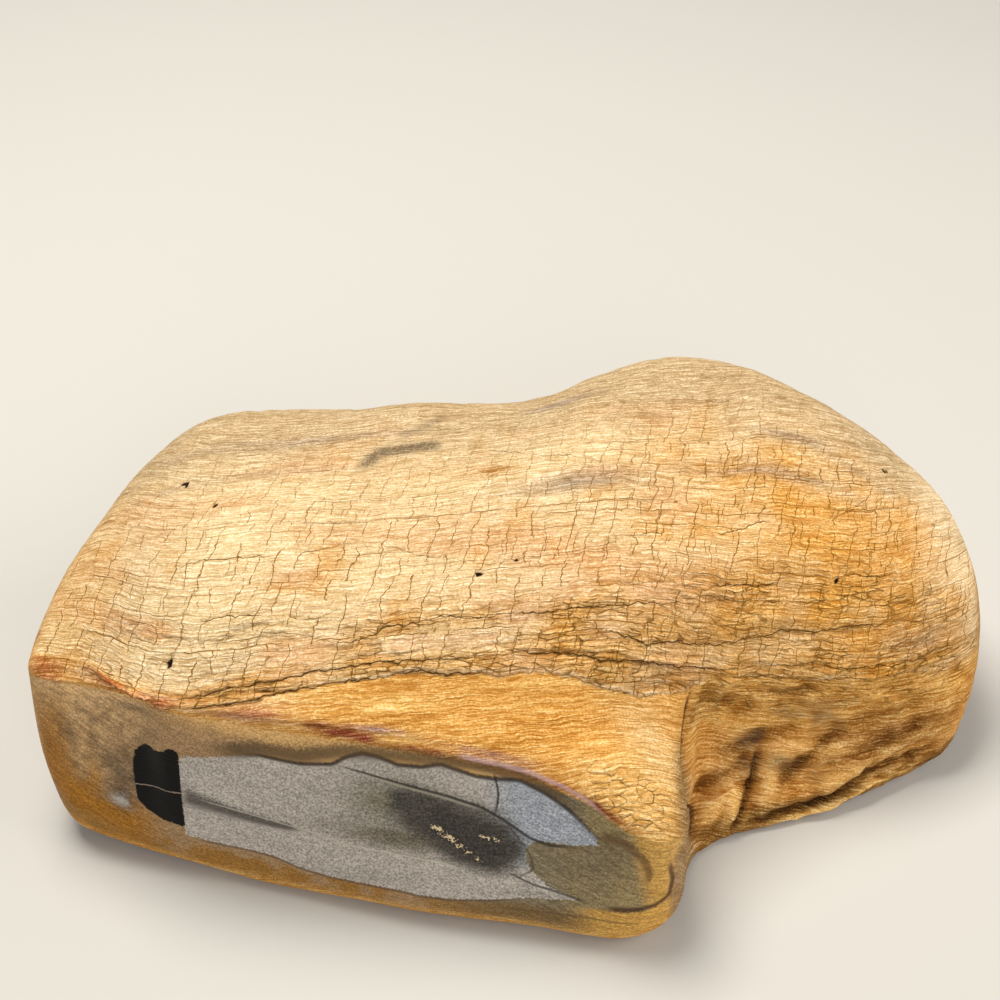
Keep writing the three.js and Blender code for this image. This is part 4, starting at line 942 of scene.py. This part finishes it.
# Streaks, fibres and short dashes of the wood: noise drawn out along the grain, its length and width
# in mm, its detail and its roughness.
textures = []
for way, length, width, detail, broken in ((wavy, 12, 0.5, 3.0, 0.6), (grain_map, 2.2, 0.22, 1.0, 0.5),
                                           (wavy, 4.5, 0.34, 1.0, 0.5)):
    drawn = add("VectorMath", {0: way, 1: (1 / length, 1 / width, 0)}, operation="MULTIPLY")
    textures.append(add("TexNoise", {"Vector": drawn, "Scale": 1.0, "Detail": detail,
                                     "Roughness": broken}, noise_dimensions="2D"))
streaks, fibres, dashes = textures
grains = add("TexNoise", {"Vector": place, "Scale": 1000 / 0.52, "Detail": 2.0, "Roughness": 0.6})
slanted_way = add("Mapping", {"Vector": place, "Rotation": (0, -0.37, 0)}, vector_type="POINT")
slanted_way = add("VectorMath", {0: slanted_way, 1: (1000 / 4.5, 1000 / 20, 1000 / 0.45)},
                  operation="MULTIPLY")
face_fibres = add("TexNoise", {"Vector": slanted_way, "Scale": 1.0, "Detail": 3.0, "Roughness": 0.6})
blotches = add("TexNoise", {"Vector": place, "Scale": 1000 / 6, "Detail": 1.0})

# Colour: the broad tints, the inlay inside its crisp outline, then streaks, grains, stains and painted
# shade.
tint_here = add("Attribute", out="Color", attribute_name="tint")
inlay_here = add("Attribute", out="Color", attribute_name="inlay")
ragged = add("Math", {0: grains, 1: 1.2, 2: kept["grey_zone"]}, operation="MULTIPLY_ADD")
in_grey = add("MapRange", {0: ragged, 1: 0.5, 2: 0.8}, interpolation_type="SMOOTHSTEP")
colour = add("Mix", {0: in_grey, 6: tint_here, 7: inlay_here}, 2, data_type="RGBA")

wood_light = 1.0
for texture, low, high, dark, pale in ((streaks, 0.3, 0.7, 0.65, 1.26), (fibres, 0.3, 0.7, 0.84, 1.12),
                                       (dashes, 0.34, 0.42, 0.6, 1.04), (grains, 0.35, 0.65, 0.75, 1.18)):
    light = add("MapRange", {0: texture, 1: low, 2: high, 3: dark, 4: pale})
    wood_light = add("Math", {0: wood_light, 1: light}, operation="MULTIPLY")
wood_light = add("Mix", {0: kept["weathered"], 2: 1.0, 3: wood_light}, data_type="FLOAT")
# A dark streak is also deeper in colour and a light one bleached, which a power of the colour gives.
deeper = add("MapRange", {0: wood_light, 1: 0.5, 2: 1.4, 3: 1.45, 4: 0.64})
colour = add("Gamma", {"Color": colour, "Gamma": deeper})
wood_light = add("MapRange", {0: wood_light, 1: 0.5, 2: 1.4, 3: 0.74, 4: 1.208})
colour = add("VectorMath", {0: colour, 3: wood_light}, operation="SCALE")
# The worn front is granular, and finely streaked on a slant.
grain_dark = add("MapRange", {0: grains, 1: 0.38, 2: 0.6, 3: 0.68, 4: 1.2})
grainy = add("MapRange", {0: in_grey, 3: 0.75, 4: 1.0})
grainy = add("Math", {0: grainy, 1: kept["satin"]}, operation="MULTIPLY")
face_light = add("MapRange", {0: face_fibres, 1: 0.35, 2: 0.62, 3: 0.6, 4: 1.18})
for light, shown in ((grain_dark, grainy), (face_light, kept["streaked"])):
    light = add("Mix", {0: shown, 2: 1.0, 3: light}, data_type="FLOAT")
    colour = add("VectorMath", {0: colour, 3: light}, operation="SCALE")

# Dirt in grains, then cracks with iron in them, from the finest to the deepest, and last the steep step
# faces, in painted shade and an olive deposit, and painted shade in the crevices.
soot_grains = add("Math", {0: kept["soot"], 1: 0.5, 2: grains}, operation="MULTIPLY_ADD")
soot_grains = add("MapRange", {0: soot_grains, 1: 0.62, 2: 0.95})
soot_share = add("MapRange", {0: kept["soot"], 1: 0.02, 2: 0.3, 3: 0.0, 4: 0.85})
soot_share = add("Math", {0: soot_grains, 1: soot_share}, operation="MULTIPLY")
for mask, shade in ((soot_share, "#574c3c"), (cracks, "#8c5d0e")):
    colour = add("Mix", {0: mask, 6: colour, 7: (*linear(shade), 1)}, 2, data_type="RGBA")
sliver_light = add("MapRange", {0: sliver_tone, 3: 0.82, 4: 1.15})
sliver_light = add("Mix", {0: kept["splinter"], 2: 1.0, 3: sliver_light}, data_type="FLOAT")
colour = add("VectorMath", {0: colour, 3: sliver_light}, operation="SCALE")
deep_tone = add("Math", {0: deep_cracks, 1: 0.85}, operation="MULTIPLY")
# The steep step faces are darkened: painted shade, and an olive deposit that lies there too.
scarp_shade_and_deposit = add("Math", {0: kept["scarp"], 1: 0.22}, operation="MULTIPLY")
# Places lower than their surroundings are darkened: painted shade.
crevice_shade = add("MapRange", {0: kept["crevice"], 1: 0.1, 2: 0.7, 3: 0.0, 4: 0.6})
for mask, shade in ((deep_tone, "#7c541a"), (splits, "#644413"), (scarp_shade_and_deposit, "#6e4a1c"),
                    (crevice_shade, "#6e4a1c")):
    colour = add("Mix", {0: mask, 6: colour, 7: (*linear(shade), 1)}, 2, data_type="RGBA")

# The marks of the front, in order, and then a dark line of painted shadow along the crease beside the knob.
face_marks = [(name, line[2], line[3]) for name, line in FACE_LINES.items()]
for name, shade, strength in face_marks + [("crease", "#432a12", 0.85)]:
    mark_here = add("Attribute", out="Vector", attribute_name=name)
    way, shown = add("SeparateXYZ", {0: mark_here}).node.outputs[:2]
    off = add("Math", {0: grains, 1: 0.9, 2: -0.45}, operation="MULTIPLY_ADD")
    off = add("Math", {0: way, 1: off}, operation="ADD")
    off = add("Math", {0: off}, operation="ABSOLUTE")
    line = add("MapRange", {0: off, 1: 0.25, 2: 1.3, 3: strength, 4: 0.0}, interpolation_type="SMOOTHSTEP")
    line = add("Math", {0: line, 1: shown}, operation="MULTIPLY")
    colour = add("Mix", {0: line, 6: colour, 7: (*linear(shade), 1)}, 2, data_type="RGBA")

# Pale flecks, the black patch with its fine pale seam, and the pits.
fleck_off = add("Math", {0: grains, 1: 3.0, 2: kept["flecks"]}, operation="MULTIPLY_ADD")
in_fleck = add("MapRange", {0: fleck_off, 1: 1.7, 2: 1.9}, interpolation_type="SMOOTHSTEP")
black_off = add("Math", {0: grains, 1: 1.2, 2: kept["black_patch"]}, operation="MULTIPLY_ADD")
in_black = add("MapRange", {0: black_off, 1: 0.5, 2: 0.75}, interpolation_type="SMOOTHSTEP")
seam_off = add("Math", {0: grains, 1: 0.7, 2: kept["seam_in_black"]}, operation="MULTIPLY_ADD")
seam_off = add("Math", {0: seam_off, 1: 0.35}, operation="SUBTRACT")
seam_off = add("Math", {0: seam_off}, operation="ABSOLUTE")
seam = add("MapRange", {0: seam_off, 1: 0.06, 2: 0.2, 3: 0.75, 4: 0.0}, interpolation_type="SMOOTHSTEP")
seam = add("Math", {0: seam, 1: in_black}, operation="MULTIPLY")
in_pit = add("MapRange", {0: kept["pit"], 1: 0.35, 2: 0.6}, interpolation_type="SMOOTHSTEP")
for mask, shade in ((in_fleck, "#dcc49a"), (in_black, "#0b0807"), (seam, "#a8937f"), (in_pit, "#2a1a0e")):
    colour = add("Mix", {0: mask, 6: colour, 7: (*linear(shade), 1)}, 2, data_type="RGBA")

# Finish: dry crust, satin front, glossy black. Heights are in mm.
roughness = add("MapRange", {0: kept["satin"], 3: 0.78, 4: 0.42})
roughness = add("Math", {0: blotches, 1: 0.12, 2: roughness}, operation="MULTIPLY_ADD")
roughness = add("Mix", {0: in_black, 2: roughness, 3: 0.2}, data_type="FLOAT")
sliver_height = add("Math", {0: sliver_tone, 1: kept["splinter"]}, operation="MULTIPLY")
knob_height = add("Math", {0: knob_edge, 1: kept["knob"]}, operation="MULTIPLY")
relief = 0.0
for texture, rise in ((cracks, -0.14), (deep_cracks, -0.22), (splits, -0.25), (sliver_height, 0.45),
                      (knob_height, 0.9), (streaks, 0.35), (fibres, 0.1), (grains, 0.12)):
    relief = add("Math", {0: texture, 1: rise, 2: relief}, operation="MULTIPLY_ADD")
relief = add("Math", {0: relief, 1: kept["weathered"]}, operation="MULTIPLY")
bump = add("Bump", {"Height": relief, "Distance": MM, "Strength": 1.0}, "Normal")
shader = add("BsdfPrincipled", {"Base Color": colour, "Roughness": roughness, "IOR": 1.54,
                                "Specular IOR Level": 0.08, "Normal": bump})
tree.links.new(shader, tree.nodes.new("ShaderNodeOutputMaterial").inputs["Surface"])
mesh.materials.append(silicified_wood)

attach(petrified_wood, "root")
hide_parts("petrified_wood")

# The studio: a pale level floor, a large soft light above and behind to the left, and weaker ones at the
# right and in front, so that the front face lies in half shade as in the photograph.
floor_mesh = bpy.data.meshes.new("floor")
REACH = 3.0
floor_mesh.from_pydata([(-REACH, -REACH, 0), (REACH, -REACH, 0), (REACH, REACH, 0), (-REACH, REACH, 0)],
                       [], [(0, 1, 2, 3)])
floor = bpy.data.objects.new("floor", floor_mesh)
bpy.context.scene.collection.objects.link(floor)
floor_paint = bpy.data.materials.new("floor_paint")
floor_paint.use_nodes = True
floor_shader = floor_paint.node_tree.nodes["Principled BSDF"]
floor_shader.inputs["Base Color"].default_value = (*linear("#c6c4bf"), 1)
floor_shader.inputs["Roughness"].default_value = 0.8
floor_mesh.materials.append(floor_paint)


def soft_light(name, place, aim, size, watts, colour):
    """A square area light of size metres at a place, facing the aim."""
    lamp = bpy.data.lights.new(name, "AREA")
    lamp.size, lamp.energy, lamp.color = size, watts, linear(colour)
    holder = bpy.data.objects.new(name, lamp)
    holder.location = place
    direction = np.array(aim) - np.array(place)
    flat = math.hypot(direction[0], direction[1])
    turn = math.atan2(direction[1], direction[0]) - math.pi / 2
    holder.rotation_euler = (math.atan2(flat, -direction[2]), 0, turn)
    bpy.context.scene.collection.objects.link(holder)


HEART = (0, 0, 0.03)  # of the stone, where every light is aimed
soft_light("key", (-0.25, 0.3, 1.0), HEART, 0.5, 12.5, "#fffaf0")
soft_light("side", (0.95, -0.1, 0.55), HEART, 0.7, 5.4, "#fff8ec")
soft_light("fill", (0.2, -1.1, 0.6), HEART, 0.7, 5.2, "#f6f8ff")
world = bpy.data.worlds.new("studio")
bpy.context.scene.world = world
world.use_nodes = True
world.node_tree.nodes["Background"].inputs["Color"].default_value = (*linear("#e8e8e6"), 1)
world.node_tree.nodes["Background"].inputs["Strength"].default_value = 0.3
bpy.context.scene.view_settings.view_transform = "Standard"

# The camera stands where the photograph was taken from, and looks along +Y and down.
TILT = 40.3  # degrees below level
lens = bpy.data.cameras.new("camera")
lens.lens = 54.0
lens.sensor_width = 36.0
camera = bpy.data.objects.new("camera", lens)
camera.location = (-0.0059, -0.26366, 0.296)
camera.rotation_euler = (math.radians(90 - TILT), 0, 0)
bpy.context.scene.collection.objects.link(camera)
bpy.context.scene.camera = camera

bpy.context.view_layer.update()
